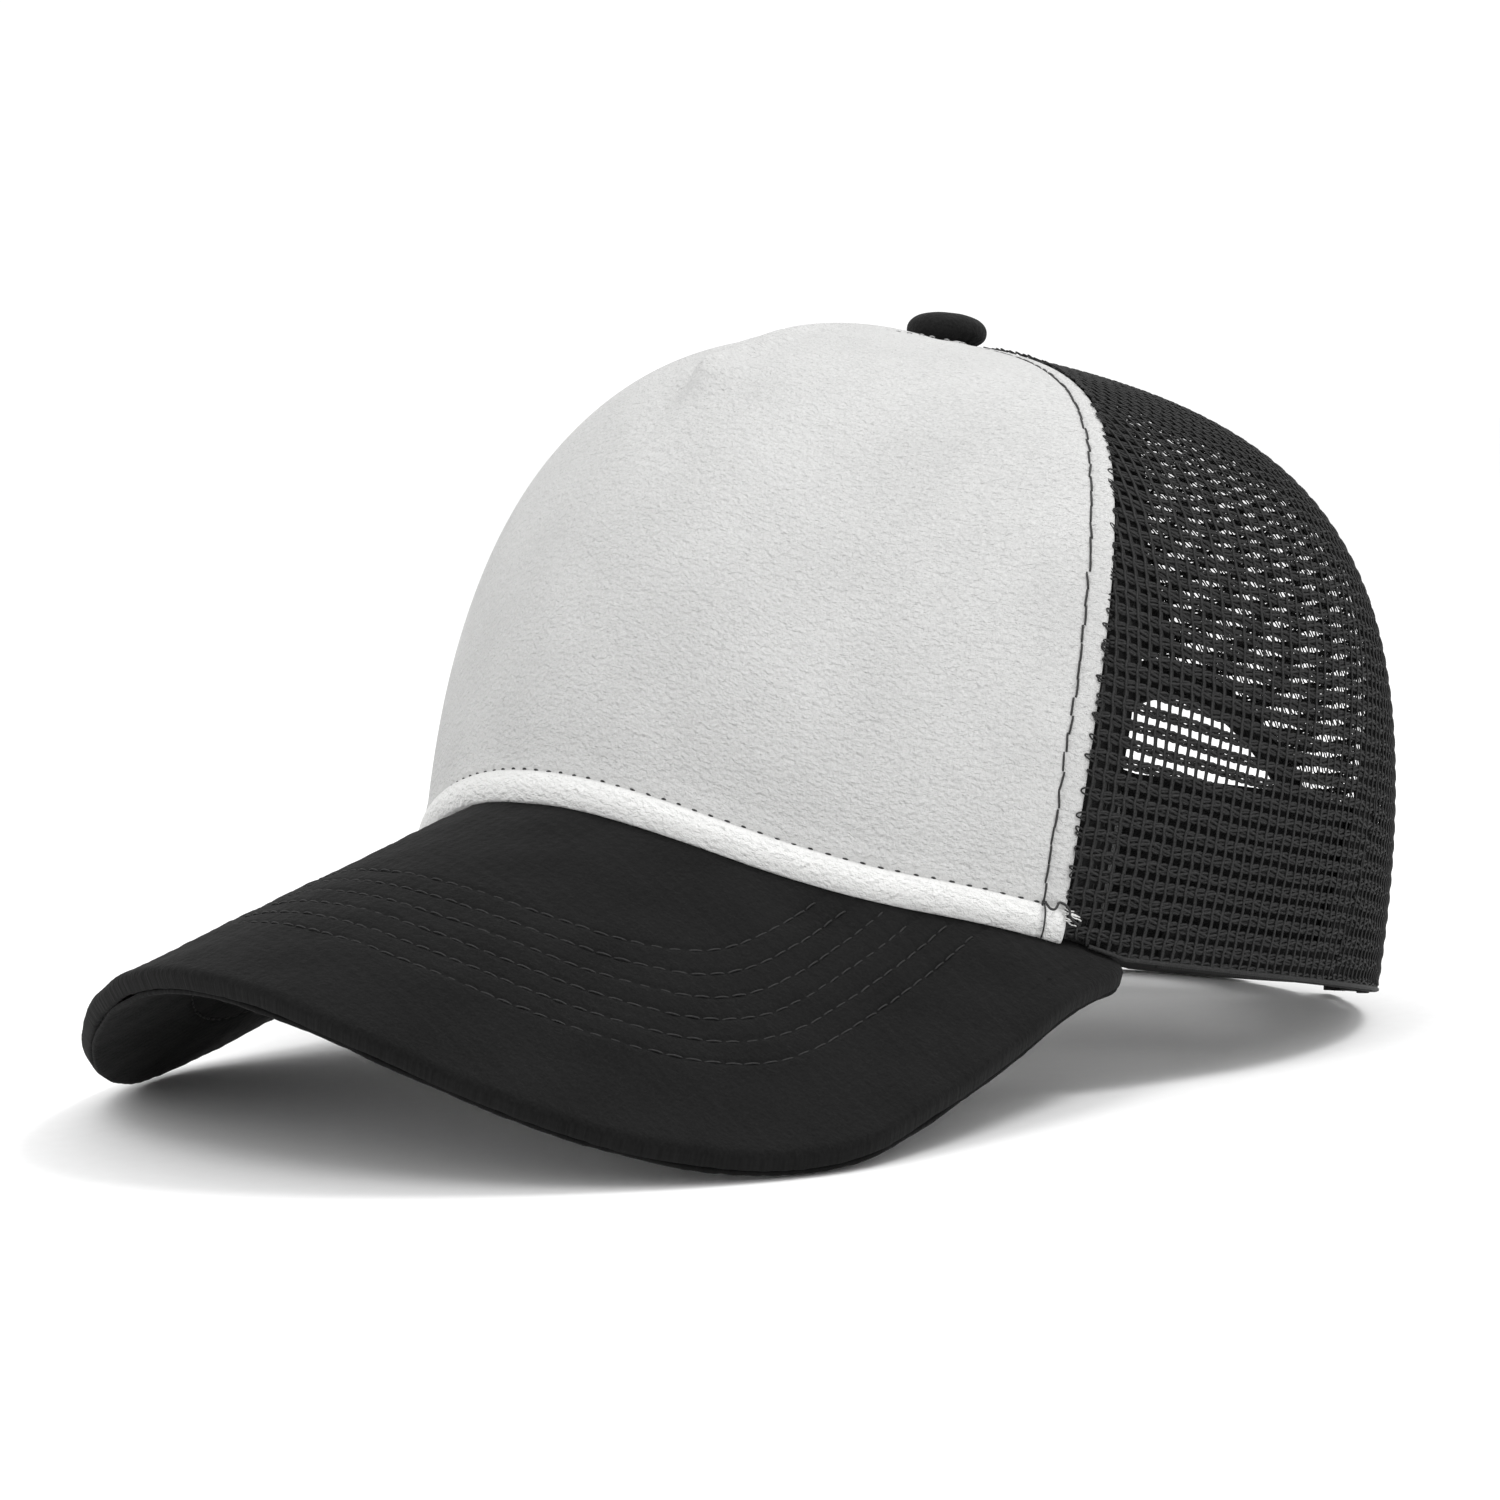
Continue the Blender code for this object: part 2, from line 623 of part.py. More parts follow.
# ---- button -----------------------------------------------------------------------------------
def make_button(cloth, metal):
    top = (0, TOP_Y, CROWN_HEIGHT)
    r, h = BUTTON_RADIUS, BUTTON_HEIGHT
    dome = [(0, h), (0.45 * r, 0.96 * h), (0.78 * r, 0.82 * h), (0.95 * r, 0.62 * h), (r, 0.4 * h)]
    dome += [(0.97 * r, 0.16 * h), (0.90 * r, BUTTON_LIFT)]
    inside = [(0.90 * r - BUTTON_CLOTH, BUTTON_LIFT), (r - BUTTON_CLOTH, 0.38 * h)]
    inside += [(0.78 * r - BUTTON_CLOTH / 2, 0.70 * h), (0.45 * r, 0.82 * h), (0, 0.84 * h)]
    node("button_cover", turned(dome + inside, top), cloth)
    s = BUTTON_CLOTH + GAP
    bowl = [(0, 0.84 * h - GAP), (0.40 * r, 0.81 * h - GAP), (0.72 * r - s / 2, 0.68 * h - GAP)]
    bowl += [(r - s, 0.38 * h - GAP), (0.90 * r - s, BUTTON_LIFT)]
    hollow = [(0.90 * r - s - SHELL_THICK, BUTTON_LIFT), (r - s - SHELL_THICK, 0.36 * h - GAP)]
    hollow += [(0.40 * r, 0.68 * h - GAP), (0, 0.70 * h - GAP)]
    node("button_shell", turned(bowl + hollow, top), metal)
    low = -WASHER_DROP - WASHER_THICK - GAP
    shank = [(0, 0.70 * h - 2 * GAP), (RIVET_RADIUS, 0.70 * h - 3 * GAP), (RIVET_RADIUS, low)]
    shank += [(RIVET_HEAD, low), (RIVET_HEAD, low - RIVET_FLARE), (0, low - RIVET_FLARE)]
    node("button_rivet", turned(shank, top, 20), metal)
    hole, rim_radius = RIVET_RADIUS + GAP, WASHER_RADIUS
    ring = [(hole, -WASHER_DROP), (rim_radius, -WASHER_DROP)]
    ring += [(rim_radius, -WASHER_DROP - WASHER_THICK), (hole, -WASHER_DROP - WASHER_THICK)]
    node("button_washer", turned(ring, top), metal)


# ---- plastic strap ----------------------------------------------------------------------------
REAR_PHI = np.linspace(math.pi - 1.0, math.pi + 1.0, 801)
REAR_RUN = np.append(0, np.cumsum(np.linalg.norm(np.diff(crown(REAR_PHI, 0.0), axis=0), axis=-1)))


def rear_phi(run):
    """The angle at a distance RUN along the rim from its rear centre, positive towards +X."""
    return np.interp(REAR_RUN[400] - run, REAR_RUN, REAR_PHI)


def strap_point(run, height, depth):
    phi = rear_phi(np.asarray(run, float))
    phi, height = np.broadcast_arrays(phi, height)
    return skin(phi, t_at(phi, height), depth)


def strap_strip(start, end, depth, tip):
    """A strip of the strap between two runs; with TIP its END is rounded off."""
    middle, half = (STRAP_LOW + STRAP_HIGH) / 2, (STRAP_HIGH - STRAP_LOW) / 2
    way = np.sign(end - start)
    straight_end = end - way * half if tip else end
    count = max(3, round(abs(straight_end - start) / 0.004))
    runs = np.linspace(start, straight_end, count)
    heights = np.full_like(runs, half)
    if tip:
        runs = np.concatenate([runs, straight_end + way * half * np.sin(TIP_ANGLES)])
        heights = np.concatenate([heights, half * np.cos(TIP_ANGLES)])
    spans = middle + np.array([-1.0, 0.0, 1.0])[:, None] * heights
    return shell(strap_point(runs, spans, depth), strap_point(runs, spans, depth + STRAP_THICK))


def pins(name, runs, radius, outer, inner, origin, look):
    """Short round pins through the strap, as one helper object for a Boolean."""
    bm = bmesh.new()
    middle = (STRAP_LOW + STRAP_HIGH) / 2
    for run in runs:
        ends = [strap_point(np.array([run]), middle, d)[0] for d in (outer, inner)]
        axis = Matrix.Translation((ends[0] + ends[1]) / 2)
        aim = Vector(ends[0] - ends[1]).to_track_quat("Z", "Y").to_matrix().to_4x4()
        bmesh.ops.create_cone(
            bm,
            cap_ends=True,
            segments=16,
            radius1=radius,
            radius2=radius,
            depth=abs(inner - outer),
            matrix=axis @ aim,
        )
    mesh = bpy.data.meshes.new(name)
    bm.to_mesh(mesh)
    bm.free()
    made = node(name, mesh, look, origin)
    made.hide_render = True
    made.display_type = "WIRE"
    return made


def strap_hinge(side, depth):
    """The point on the strap's root about which its free length swings."""
    middle = (STRAP_LOW + STRAP_HIGH) / 2
    return tuple(strap_point(np.array([side * STRAP_ROOT]), middle, depth + STRAP_THICK / 2)[0])


def add_boolean(made, cutter, operation):
    change = made.modifiers.new("pins", "BOOLEAN")
    change.operation = operation
    change.solver = "EXACT"
    change.object = cutter


def make_straps(look):
    """The strap with holes, outside, sewn at the right; the one with pegs, inside, at the left."""
    peg_depth = STRAP_DEPTH + STRAP_THICK + STRAP_GAP
    steps = np.arange(PEGS) - PEGS_PAST_CENTRE
    origin = strap_hinge(RIGHT, STRAP_DEPTH)
    strip = strap_strip(RIGHT * STRAP_ROOT, LEFT * STRAP_TIP, STRAP_DEPTH, True)
    holes = node("strap_holes", strip, look, origin)
    reach = 2 * STRAP_THICK
    cutter = pins(
        "strap_hole_cutter",
        RIGHT * steps * PEG_PITCH,
        HOLE_RADIUS,
        STRAP_DEPTH - reach,
        STRAP_DEPTH + STRAP_THICK + reach,
        origin,
        look,
    )
    add_boolean(holes, cutter, "DIFFERENCE")
    origin = strap_hinge(LEFT, peg_depth)
    strip = strap_strip(LEFT * STRAP_ROOT, RIGHT * STRAP_TIP, peg_depth, True)
    pegs = node("strap_pegs", strip, look, origin)
    outer = peg_depth - PEG_HEIGHT
    studs = pins(
        "strap_peg_studs",
        LEFT * steps * PEG_PITCH,
        PEG_RADIUS,
        outer,
        peg_depth + STRAP_THICK / 2,
        origin,
        look,
    )
    add_boolean(pegs, studs, "UNION")
    for side, name, depth in (
        (RIGHT, "strap_holes_tail", STRAP_DEPTH),
        (LEFT, "strap_pegs_tail", peg_depth),
    ):
        start = side * (STRAP_ROOT + TAIL_GAP)
        node(name, strap_strip(start, start + side * STRAP_TAIL, depth, False), look)


# ---- the whole cap ----------------------------------------------------------------------------
def clear_scene():
    for made in list(bpy.data.objects):
        bpy.data.objects.remove(made)


def set_down(cap):
    """Pitches the cap until the brim and the back of the rim rest on the same level, at Z = 0."""
    bpy.context.view_layer.update()
    points = np.array(
        [
            (part.matrix_world @ vertex.co)[:]
            for part in cap.children
            if not part.hide_render
            for vertex in part.data.vertices
        ]
    )
    ahead = points[points[:, 1] < 0]
    behind = points[points[:, 1] > 0]
    low, high = 0.0, math.radians(25)
    for _ in range(40):
        pitch = (low + high) / 2
        drop = [
            (part[:, 2] * math.cos(pitch) - part[:, 1] * math.sin(pitch)).min()
            for part in (ahead, behind)
        ]
        low, high = (pitch, high) if drop[0] < drop[1] else (low, pitch)
    turned_y = points[:, 1] * math.cos(pitch) + points[:, 2] * math.sin(pitch)
    cap.rotation_euler.x = -pitch
    cap.location.y = -(turned_y.min() + turned_y.max()) / 2
    cap.location.z = -min(drop)


def build():
    clear_scene()
    cap = bpy.data.objects.new("cap", None)
    bpy.context.scene.collection.objects.link(cap)
    white_suede = material("white_suede", (0.68, 0.68, 0.67), 0.95)
    black_suede = material("black_suede", (0.020, 0.020, 0.020), 0.92)
    mesh_net = material("black_mesh", (0.028, 0.028, 0.028), 0.65)
    twill = material("black_twill", (0.022, 0.022, 0.022), 0.9)
    tape = material("black_tape", (0.025, 0.025, 0.025), 0.85)
    buckram = material("buckram", (0.72, 0.71, 0.67), 0.9)
    foam = material("foam", (0.25, 0.25, 0.25), 0.95)
    board = material("brim_plastic", (0.80, 0.79, 0.75), 0.5)
    plastic = material("strap_plastic", (0.018, 0.018, 0.018), 0.42)
    metal = material("plated_steel", (0.55, 0.55, 0.54), 0.35, 1.0)
    label = material("label_cloth", (0.70, 0.70, 0.69), 0.8)

    make_front_panel(white_suede)
    make_front_backing(buckram)
    make_dart_tape(tape)
    make_arch_binding(tape)
    under_suede = SUEDE + GAP
    under_mesh = MESH + GAP
    for side, word in ((RIGHT, "right"), (LEFT, "left")):
        make_side_panel(side, f"side_panel_{word}", mesh_net)
        make_back_panel(side, f"back_panel_{word}", mesh_net)
        make_rim_tape(side, f"rim_tape_{word}", tape)
        ahead, behind = FRONT_TAPE
        name = f"front_seam_tape_{word}"
        make_seam_tape(name, front_seam, side, ahead, behind, under_suede, TAPE_LOW_T, tape)
        name = f"side_seam_tape_{word}"
        width = PLAIN_TAPE
        make_seam_tape(name, side_seam, side, width, width, under_mesh, TAPE_LOW_T, tape)
    above_arch = arch(np.full(1, math.pi / 2), ARCH_TAPE_WIDEN)[1][0]
    make_seam_tape("back_seam_tape", back_centre, 1, PLAIN_TAPE, PLAIN_TAPE, under_mesh, above_arch, tape)
    make_sweatband(twill)
    make_sweatband_pad(foam)
    make_label(label)
    make_brim_cover_top(black_suede)
    make_brim_board(board)
    make_brim_cover_bottom(black_suede)
    make_button(black_suede, metal)
    make_straps(plastic)
    set_down(cap)


build()
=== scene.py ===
import json
from collections import namedtuple
from math import cos, pi, radians, sin, sqrt, tau

import bpy
import numpy as np
from mathutils import Matrix, Vector

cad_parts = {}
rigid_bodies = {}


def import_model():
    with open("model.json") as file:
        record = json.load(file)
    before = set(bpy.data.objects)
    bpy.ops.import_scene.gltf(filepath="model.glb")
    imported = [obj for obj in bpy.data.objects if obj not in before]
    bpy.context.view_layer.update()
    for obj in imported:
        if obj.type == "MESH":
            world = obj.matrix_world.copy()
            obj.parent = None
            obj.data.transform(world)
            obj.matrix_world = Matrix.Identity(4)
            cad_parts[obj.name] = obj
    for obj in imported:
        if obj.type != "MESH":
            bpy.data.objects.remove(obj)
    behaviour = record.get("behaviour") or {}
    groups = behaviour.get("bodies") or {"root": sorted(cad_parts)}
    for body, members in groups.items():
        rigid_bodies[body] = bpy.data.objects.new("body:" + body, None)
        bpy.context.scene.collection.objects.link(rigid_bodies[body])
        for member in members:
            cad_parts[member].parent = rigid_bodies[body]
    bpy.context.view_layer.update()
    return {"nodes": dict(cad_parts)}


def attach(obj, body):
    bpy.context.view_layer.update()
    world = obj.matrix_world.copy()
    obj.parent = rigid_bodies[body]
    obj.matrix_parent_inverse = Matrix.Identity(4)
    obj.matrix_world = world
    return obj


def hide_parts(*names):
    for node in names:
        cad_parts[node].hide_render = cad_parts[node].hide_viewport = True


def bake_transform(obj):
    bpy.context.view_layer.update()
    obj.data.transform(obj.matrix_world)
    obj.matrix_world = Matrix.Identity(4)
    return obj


# Looks for the trucker mesh cap. Every soft piece is worked out on the crown's and brim's own surfaces,
# in the cap's frame (rim in the plane Z = 0, brim to -Y), and then pitched and set down as the CAD part is.
# A place on the crown is PHI round it from the front, T up it from the rim, and DEPTH inside its surface.
# Lengths are in metres.

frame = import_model()

# ---- how the cap's own frame lies in the part's frame
PITCH_DEG = 11.6017
SET_DOWN = (0.0, 0.044165, 0.014616)

# ---- the crown, as in the CAD part
RIM_FRONT = 0.1007
RIM_BACK = 0.0806
RIM_SIDE = 0.0877
RIM_FRONT_POWER = 1.8
RIM_BACK_POWER = 2.0
CROWN_HEIGHT = 0.1125
TOP_Y = -0.0075
LEAN_DEG = (1.2, -10.2, 8.5)
RIM_PULL = (0.1141, 0.0794, 0.0396)
TOP_PULL = (0.0418, 0.0848, 0.0304)
TOP_SLOPE = (-0.093, -0.136, -0.088)
CORNER_TOP_PULL = -0.0263
CORNER_RIM_PULL = 0.0122
REAR_TOP_PULL = 0.020
REAR_RIM_PULL = 0.024
TOP_HOLE = 0.0027
FRONT_SEAM_DEG = (61.3, 5.1, 7.0)
SIDE_SEAM_DEG = (100.0, 18.0, 0.0)
MESH = 0.0008
GAP = 0.0005
TAPE = 0.0006
HEM_STRIP = 0.0058
FRONT_TAPE = (0.0065, 0.0064)
PLAIN_TAPE = (0.0060, 0.0060)
RIM_TAPE = 0.0075
DART_LENGTH = 0.0719
DART_ASIDE = 0.0030
TAPE_TOP_RADIUS = 0.026
BAND_HEIGHT = 0.032
BAND_DEPTH = 0.0052
BAND_SIDE_DEPTH = 0.0030
BAND_LOW = 0.0012
PAD_HALF_DEG = 66.0
PAD_DEPTH = 0.0036
LABEL_DEG = 138
LABEL_WIDTH = 0.018
LABEL_HEIGHTS = (0.006, 0.026)
LABEL_THICK = 0.0004
ARCH_HALF_DEG = 28.0
ARCH_HEIGHT = 0.055
ARCH_BAND_DEG = 4.6
ARCH_BAND_WIDTH = 0.0068
ARCH_BAND_DEPTH = -0.0004
ARCH_BAND_THICK = 0.0017
STRAP_LOW = 0.0015
STRAP_HIGH = 0.0195
STRAP_THICK = 0.0012
STRAP_GAP = 0.0004
STRAP_DEPTH = 0.0016
STRAP_ROOT = 0.0385
TAIL_GAP = 0.0024

# ---- the brim, as in the CAD part
BRIM_ROOT_Z = 0.0172
BRIM_SLOPE_DEG = 26.4
BRIM_FALL = 0.0527
BRIM_ARCH = 0.1260
BRIM_LENGTH = 0.0733
BRIM_HALF_WIDTH = 0.1020
BRIM_WIDEST = 0.0156
BRIM_FRONT_POWER = 1.9
BRIM_BACK_POWER = 1.9
BRIM_CORNER_DEG = 67.5
BRIM_THICK = 0.0047
BRIM_TUCK = 0.0030
BRIM_FRONT_SHARE = 0.62
BRIM_COVER_SHARE = 0.985
EDGE_RADIUS = 0.0015
COVER_REACH = 0.0745
CORNER_FALL = 0.0082
CORNER_FALL_FROM = 0.0262
CORNER_FALL_OVER = 0.0270

# ---- looks
NET_ROW = 0.00287
NET_COLUMN = 0.00205
NET_BAND = 0.00062
NET_YARN = 0.00020
NET_PAIR = 0.00040
NET_PRESS = 0.3
NET_MIDDLE = 0.0004
NET_ROW_START = 0.35
NET_TOP = 0.985
NET_SIDE_CLOTH = (86, 62)
NET_BACK_CLOTH = (140, 75)
LOOPS_CLOTH = (80, 60)
OUT_OF_REACH = 9.0
FRONT_WIDTH = 0.180
FRONT_HEIGHT = 0.147
STRIP_RISE = 0.0012
STRIP_END_T = 0.05
FRONT_LINE_TOP = TOP_HOLE + 0.004
DART_STITCH_ASIDE = 0.0022
EDGE_T = 0.004
TOPSTITCH_IN = 0.0045
STITCH_ROWS = [0.0199 + 0.00455 * k for k in range(6)]
EASE_ROWS = 0.40
BUTTON_RADIUS = 0.0075
BUTTON_HEIGHT = 0.0056
RIGHT, LEFT = -1, 1
SIDES = ((RIGHT, "right"), (LEFT, "left"))
CAP = "cap_body"
STITCH_POINTS = 8
STRAPS = ("strap_holes", "strap_pegs", "strap_holes_tail", "strap_pegs_tail")
SEED = 7

# Sewing: the stitches' pitch, the share of it that shows, how far they rise and stray, how deep they dip at
# their needle holes, and the thread's radius.
Stitch = namedtuple("Stitch", "pitch share lift wobble dip radius")
TOPSTITCH = Stitch(0.0031, 1.0, 0.0001, 0.00013, 0.00014, 0.00019)
HEM_STITCH = Stitch(0.00296, 0.30, 0.00016, 0.00006, 0.0004, 0.0002)
DART_STITCH = Stitch(0.0030, 0.35, 0.00004, 0.00005, 0.00020, 0.00012)
TAPE_STITCH = Stitch(0.0028, 0.8, 0.0001, 0.00008, 0.00028, 0.00014)
ARCH_STITCH = Stitch(0.0028, 0.8, 0.0001, 0.00008, 0.00032, 0.00016)
BAND_STITCH = Stitch(0.0030, 0.8, 0.0001, 0.00006, 0.00032, 0.00016)
BRIM_STITCH = Stitch(0.0031, 0.8, 0.00008, 0.00006, 0.00034, 0.00016)


# ---- surfaces
def unit(vectors):
    return vectors / np.maximum(np.linalg.norm(vectors, axis=-1, keepdims=True), 1e-12)


def smoothstep(low, high, value):
    share = np.clip((value - low) / (high - low), 0, 1)
    return share * share * (3 - 2 * share)


def bell(distance, width):
    return np.exp(-((distance / width) ** 2))


def run_of(points):
    """How far along a line each of its points is."""
    return np.append(0, np.cumsum(np.linalg.norm(np.diff(points, axis=0), axis=-1)))


def flat_run(u, v):
    """How far along a flat line each of its points is."""
    return np.append(0, np.cumsum(np.hypot(np.diff(u), np.diff(v))))


def ripple(x, y, seed, waves=7):
    """A smooth, uneven field between about -1 and 1, with features about one unit of X or Y long."""
    rng = np.random.default_rng(seed)
    total = 0.0
    for _ in range(waves):
        turn, phase, scale = rng.uniform(0, tau), rng.uniform(0, tau), rng.uniform(0.6, 1.6)
        total = total + np.sin(scale * (x * cos(turn) + y * sin(turn)) * tau + phase)
    return total / sqrt(waves)


def rim(phi):
    sine, cosine = np.sin(phi), np.cos(phi)
    power = np.where(cosine > 0, RIM_FRONT_POWER, RIM_BACK_POWER)
    reach = np.where(cosine > 0, RIM_FRONT, RIM_BACK)
    x = RIM_SIDE * np.sign(sine) * np.abs(sine) ** (2 / power)
    y = -reach * np.sign(cosine) * np.abs(cosine) ** (2 / power)
    return x, y


def mixed(phi, front_side_back):
    front, side, back = front_side_back
    cosine = np.cos(phi)
    ahead = np.clip(cosine, 0, 1) ** 2
    behind = np.clip(-cosine, 0, 1) ** 2
    return ahead * front + behind * back + (1 - ahead - behind) * side


def crown(phi, t):
    """A point of the crown's outer surface: a Bezier meridian from the rim to the top."""
    x, y = rim(phi)
    dy = y - TOP_Y
    reach = np.hypot(x, dy)
    corner = np.where(np.cos(phi) > 0, np.sin(2 * phi) ** 2, 0)
    rear = np.clip(-np.cos(phi), 0, 1) ** 6
    lean = np.radians(mixed(phi, LEAN_DEG))
    pull = mixed(phi, RIM_PULL) + corner * CORNER_RIM_PULL + rear * REAR_RIM_PULL
    top_pull = mixed(phi, TOP_PULL) + corner * CORNER_TOP_PULL + rear * REAR_TOP_PULL
    b0, b1 = (1 - t) ** 3, 3 * t * (1 - t) ** 2
    b2, b3 = 3 * t * t * (1 - t), t**3
    out = b0 * reach + b1 * (reach - pull * np.sin(lean)) + b2 * top_pull
    top = CROWN_HEIGHT + top_pull * mixed(phi, TOP_SLOPE)
    up = b1 * pull * np.cos(lean) + b2 * top + b3 * CROWN_HEIGHT
    return np.stack([out * x / reach, TOP_Y + out * dy / reach, up], -1)


def outward(phi, t, step=1e-4):
    around = crown(phi + step, t) - crown(phi - step, t)
    return unit(np.cross(around, crown(phi, t + step) - crown(phi, t - step)))


def skin(phi, t, depth=0.0):
    """A point of the crown, DEPTH metres below its outer surface."""
    phi, t, depth = np.broadcast_arrays(np.asarray(phi, float), t, depth)
    return crown(phi, t) - outward(phi, t) * depth[..., None]


def halved(low, high, too_low):
    """The T where TOO_LOW turns false, found by halving."""
    for _ in range(26):
        middle = (low + high) / 2
        below = too_low(middle)
        low, high = np.where(below, middle, low), np.where(below, high, middle)
    return (low + high) / 2


def t_at(phi, height):
    start = np.zeros_like(phi)
    return halved(start, start + 0.7, lambda t: crown(phi, t)[..., 2] < height)


def t_within(phi, radius):
    start = np.zeros_like(phi)

    def outside(t):
        place = crown(phi, t)
        return np.hypot(place[..., 0], place[..., 1] - TOP_Y) > radius

    return halved(start + 0.2, start + 1.0, outside)


def angle_of(distance, phi, t, step=1e-3):
    """The angle around the crown that a distance along its surface spans at a place."""
    chord = np.linalg.norm(crown(phi + step, t) - crown(phi - step, t), axis=-1)
    return distance * 2 * step / chord


def rise_of(distance, phi, t, step=1e-3):
    """The share of T that a distance up the surface spans at a place."""
    chord = np.linalg.norm(crown(phi, t + step) - crown(phi, t - step), axis=-1)
    return distance * 2 * step / chord


def arch_fall(x):
    return -BRIM_FALL / 2 * (1 - np.cos(pi * x / BRIM_ARCH))


def corner_fall(v):
    return -CORNER_FALL * np.clip((-v - CORNER_FALL_FROM) / CORNER_FALL_OVER, 0, 9) ** 2


ARCH_X = np.linspace(0, BRIM_ARCH, 600)
ARCH_U = flat_run(ARCH_X, arch_fall(ARCH_X))
SLOPE = radians(BRIM_SLOPE_DEG)


def brim(u, v, sink=0.0):
    """A point of the brim: U around its arch, V down its slope, SINK below its top."""
    x = np.sign(u) * np.interp(np.abs(u), ARCH_U, ARCH_X)
    turn = np.arctan(BRIM_FALL / 2 * pi / BRIM_ARCH * np.sin(pi * x / BRIM_ARCH))
    h = arch_fall(x) + corner_fall(v) - sink * np.cos(turn)
    y = -RIM_FRONT - v * cos(SLOPE) - h * sin(SLOPE)
    z = BRIM_ROOT_Z - v * sin(SLOPE) + h * cos(SLOPE)
    return np.stack(np.broadcast_arrays(x - sink * np.sin(turn), y, z), -1)


def on_brim(points):
    """U, V and height above the brim's top of points near the brim."""
    dy, dz = points[..., 1] + RIM_FRONT, points[..., 2] - BRIM_ROOT_Z
    u = np.sign(points[..., 0]) * np.interp(np.abs(points[..., 0]), ARCH_X, ARCH_U)
    v = -dy * cos(SLOPE) - dz * sin(SLOPE)
    fall = arch_fall(points[..., 0]) + corner_fall(v)
    return u, v, -dy * sin(SLOPE) + dz * cos(SLOPE) - fall


def hem_t(phi, depth=0.0):
    """The T at which the crown meets the brim; 0 where it has no brim under it."""
    phi = np.asarray(phi, float)
    start = np.zeros_like(phi)
    found = halved(start - 0.02, start + 0.45, lambda t: on_brim(skin(phi, t, depth))[2] < 0)
    return np.maximum(found, 0)


def above_hem(phi, up):
    """The T of places that lie UP metres above the hem."""
    base = hem_t(phi)
    return base + rise_of(up, phi, base)


def seam_phi(degrees, t):
    a, b, c = degrees
    return np.radians(a + b * t + c * t * t)


def front_seam(t):
    return seam_phi(FRONT_SEAM_DEG, t)


def side_seam(t):
    return seam_phi(SIDE_SEAM_DEG, t)


def beside(seam, t, distance):
    """PHI along a line that lies DISTANCE metres behind a seam."""
    return seam(t) + angle_of(distance, seam(t), t)


def back_centre(t):
    return np.full_like(t, pi - 1e-3)


def arch(a, widen):
    """PHI and T on the rear arch; WIDEN is 0 on its opening and 1 on the band's outer edge."""
    phi = pi - np.radians(ARCH_HALF_DEG + widen * ARCH_BAND_DEG) * np.cos(a)
    height = (ARCH_HEIGHT + widen * ARCH_BAND_WIDTH) * np.sin(a)
    return phi, t_at(phi, height)


# ---- meshes
COSINE, SINE = cos(radians(PITCH_DEG)), sin(radians(PITCH_DEG))


def placed(points):
    """Points of the cap's own frame, in the part's frame."""
    x, y, z = points[..., 0], points[..., 1], points[..., 2]
    return np.stack([x, y * COSINE + z * SINE, -y * SINE + z * COSINE], -1) + np.array(SET_DOWN)


def shown(name, data):
    """A new object in the scene."""
    made = bpy.data.objects.new(name, data)
    bpy.context.scene.collection.objects.link(made)
    return made


def piece(name, points, faces, look, node=None, uv=None, body=CAP):
    """A smooth mesh of quads that rides on a body and may stand for a node of the CAD part.

    UV is in metres, for the materials' patterns.
    """
    points = placed(np.asarray(points, float).reshape(-1, 3))
    mesh = bpy.data.meshes.new(name)
    mesh.vertices.add(len(points))
    mesh.vertices.foreach_set("co", points.astype(np.float32).ravel())
    mesh.loops.add(faces.size)
    mesh.loops.foreach_set("vertex_index", faces.astype(np.int32).ravel())
    mesh.polygons.add(len(faces))
    mesh.polygons.foreach_set("loop_start", np.arange(0, faces.size, 4, dtype=np.int32))
    mesh.update(calc_edges=True)
    mesh.polygons.foreach_set("use_smooth", np.ones(len(faces), bool))
    if uv is not None:
        layer = mesh.uv_layers.new(name="metres")
        layer.data.foreach_set("uv", uv.reshape(-1, 2)[faces.ravel()].astype(np.float32).ravel())
    mesh.materials.append(LOOKS[look])
    made = shown(name, mesh)
    if body:
        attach(made, body)
    if node:
        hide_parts(node)
    return made


def grid_faces(rows, columns, first=0, flip=False, wrap=False):
    i, j = np.mgrid[0 : rows - 1, 0 : columns if wrap else columns - 1]
    a = first + i * columns + j
    b = first + i * columns + (j + 1) % columns
    quads = np.stack([a, b, b + columns, a + columns], -1).reshape(-1, 4)
    return quads[:, ::-1] if flip else quads


def slab_faces(rows, columns):
    """Faces of a closed body between two grids of points, the outer one first."""
    count = rows * columns
    top, bottom = grid_faces(rows, columns), grid_faces(rows, columns, count, flip=True)
    ids = np.arange(count).reshape(rows, columns)
    loop = np.concatenate([ids[0], ids[1:, -1], ids[-1, -2::-1], ids[-2:0:-1, 0]])
    after = np.roll(loop, -1)
    return np.concatenate([top, bottom, np.stack([after, loop, loop + count, after + count], -1)])


def metres(points):
    """How far along its rows and columns each point of a grid is, from the middle of the first row."""
    across = np.linalg.norm(np.diff(points, axis=1), axis=-1)
    across = np.concatenate([np.zeros((len(points), 1)), np.cumsum(across, 1)], 1)
    across -= across[:, [across.shape[1] // 2]]
    up = np.linalg.norm(np.diff(points, axis=0), axis=-1)
    up = np.concatenate([np.zeros((1, points.shape[1])), np.cumsum(up, 0)], 0)
    return np.stack([across, up], -1)


def fold_faces(rows, columns):
    """Faces of a strip folded double along its first column, with its two long edges free."""
    faces = slab_faces(rows, columns)
    joins = faces[:, 0] % columns + faces[:, 1] % columns == 0
    return faces[joins | (np.arange(len(faces)) < 2 * (rows - 1) * (columns - 1))]


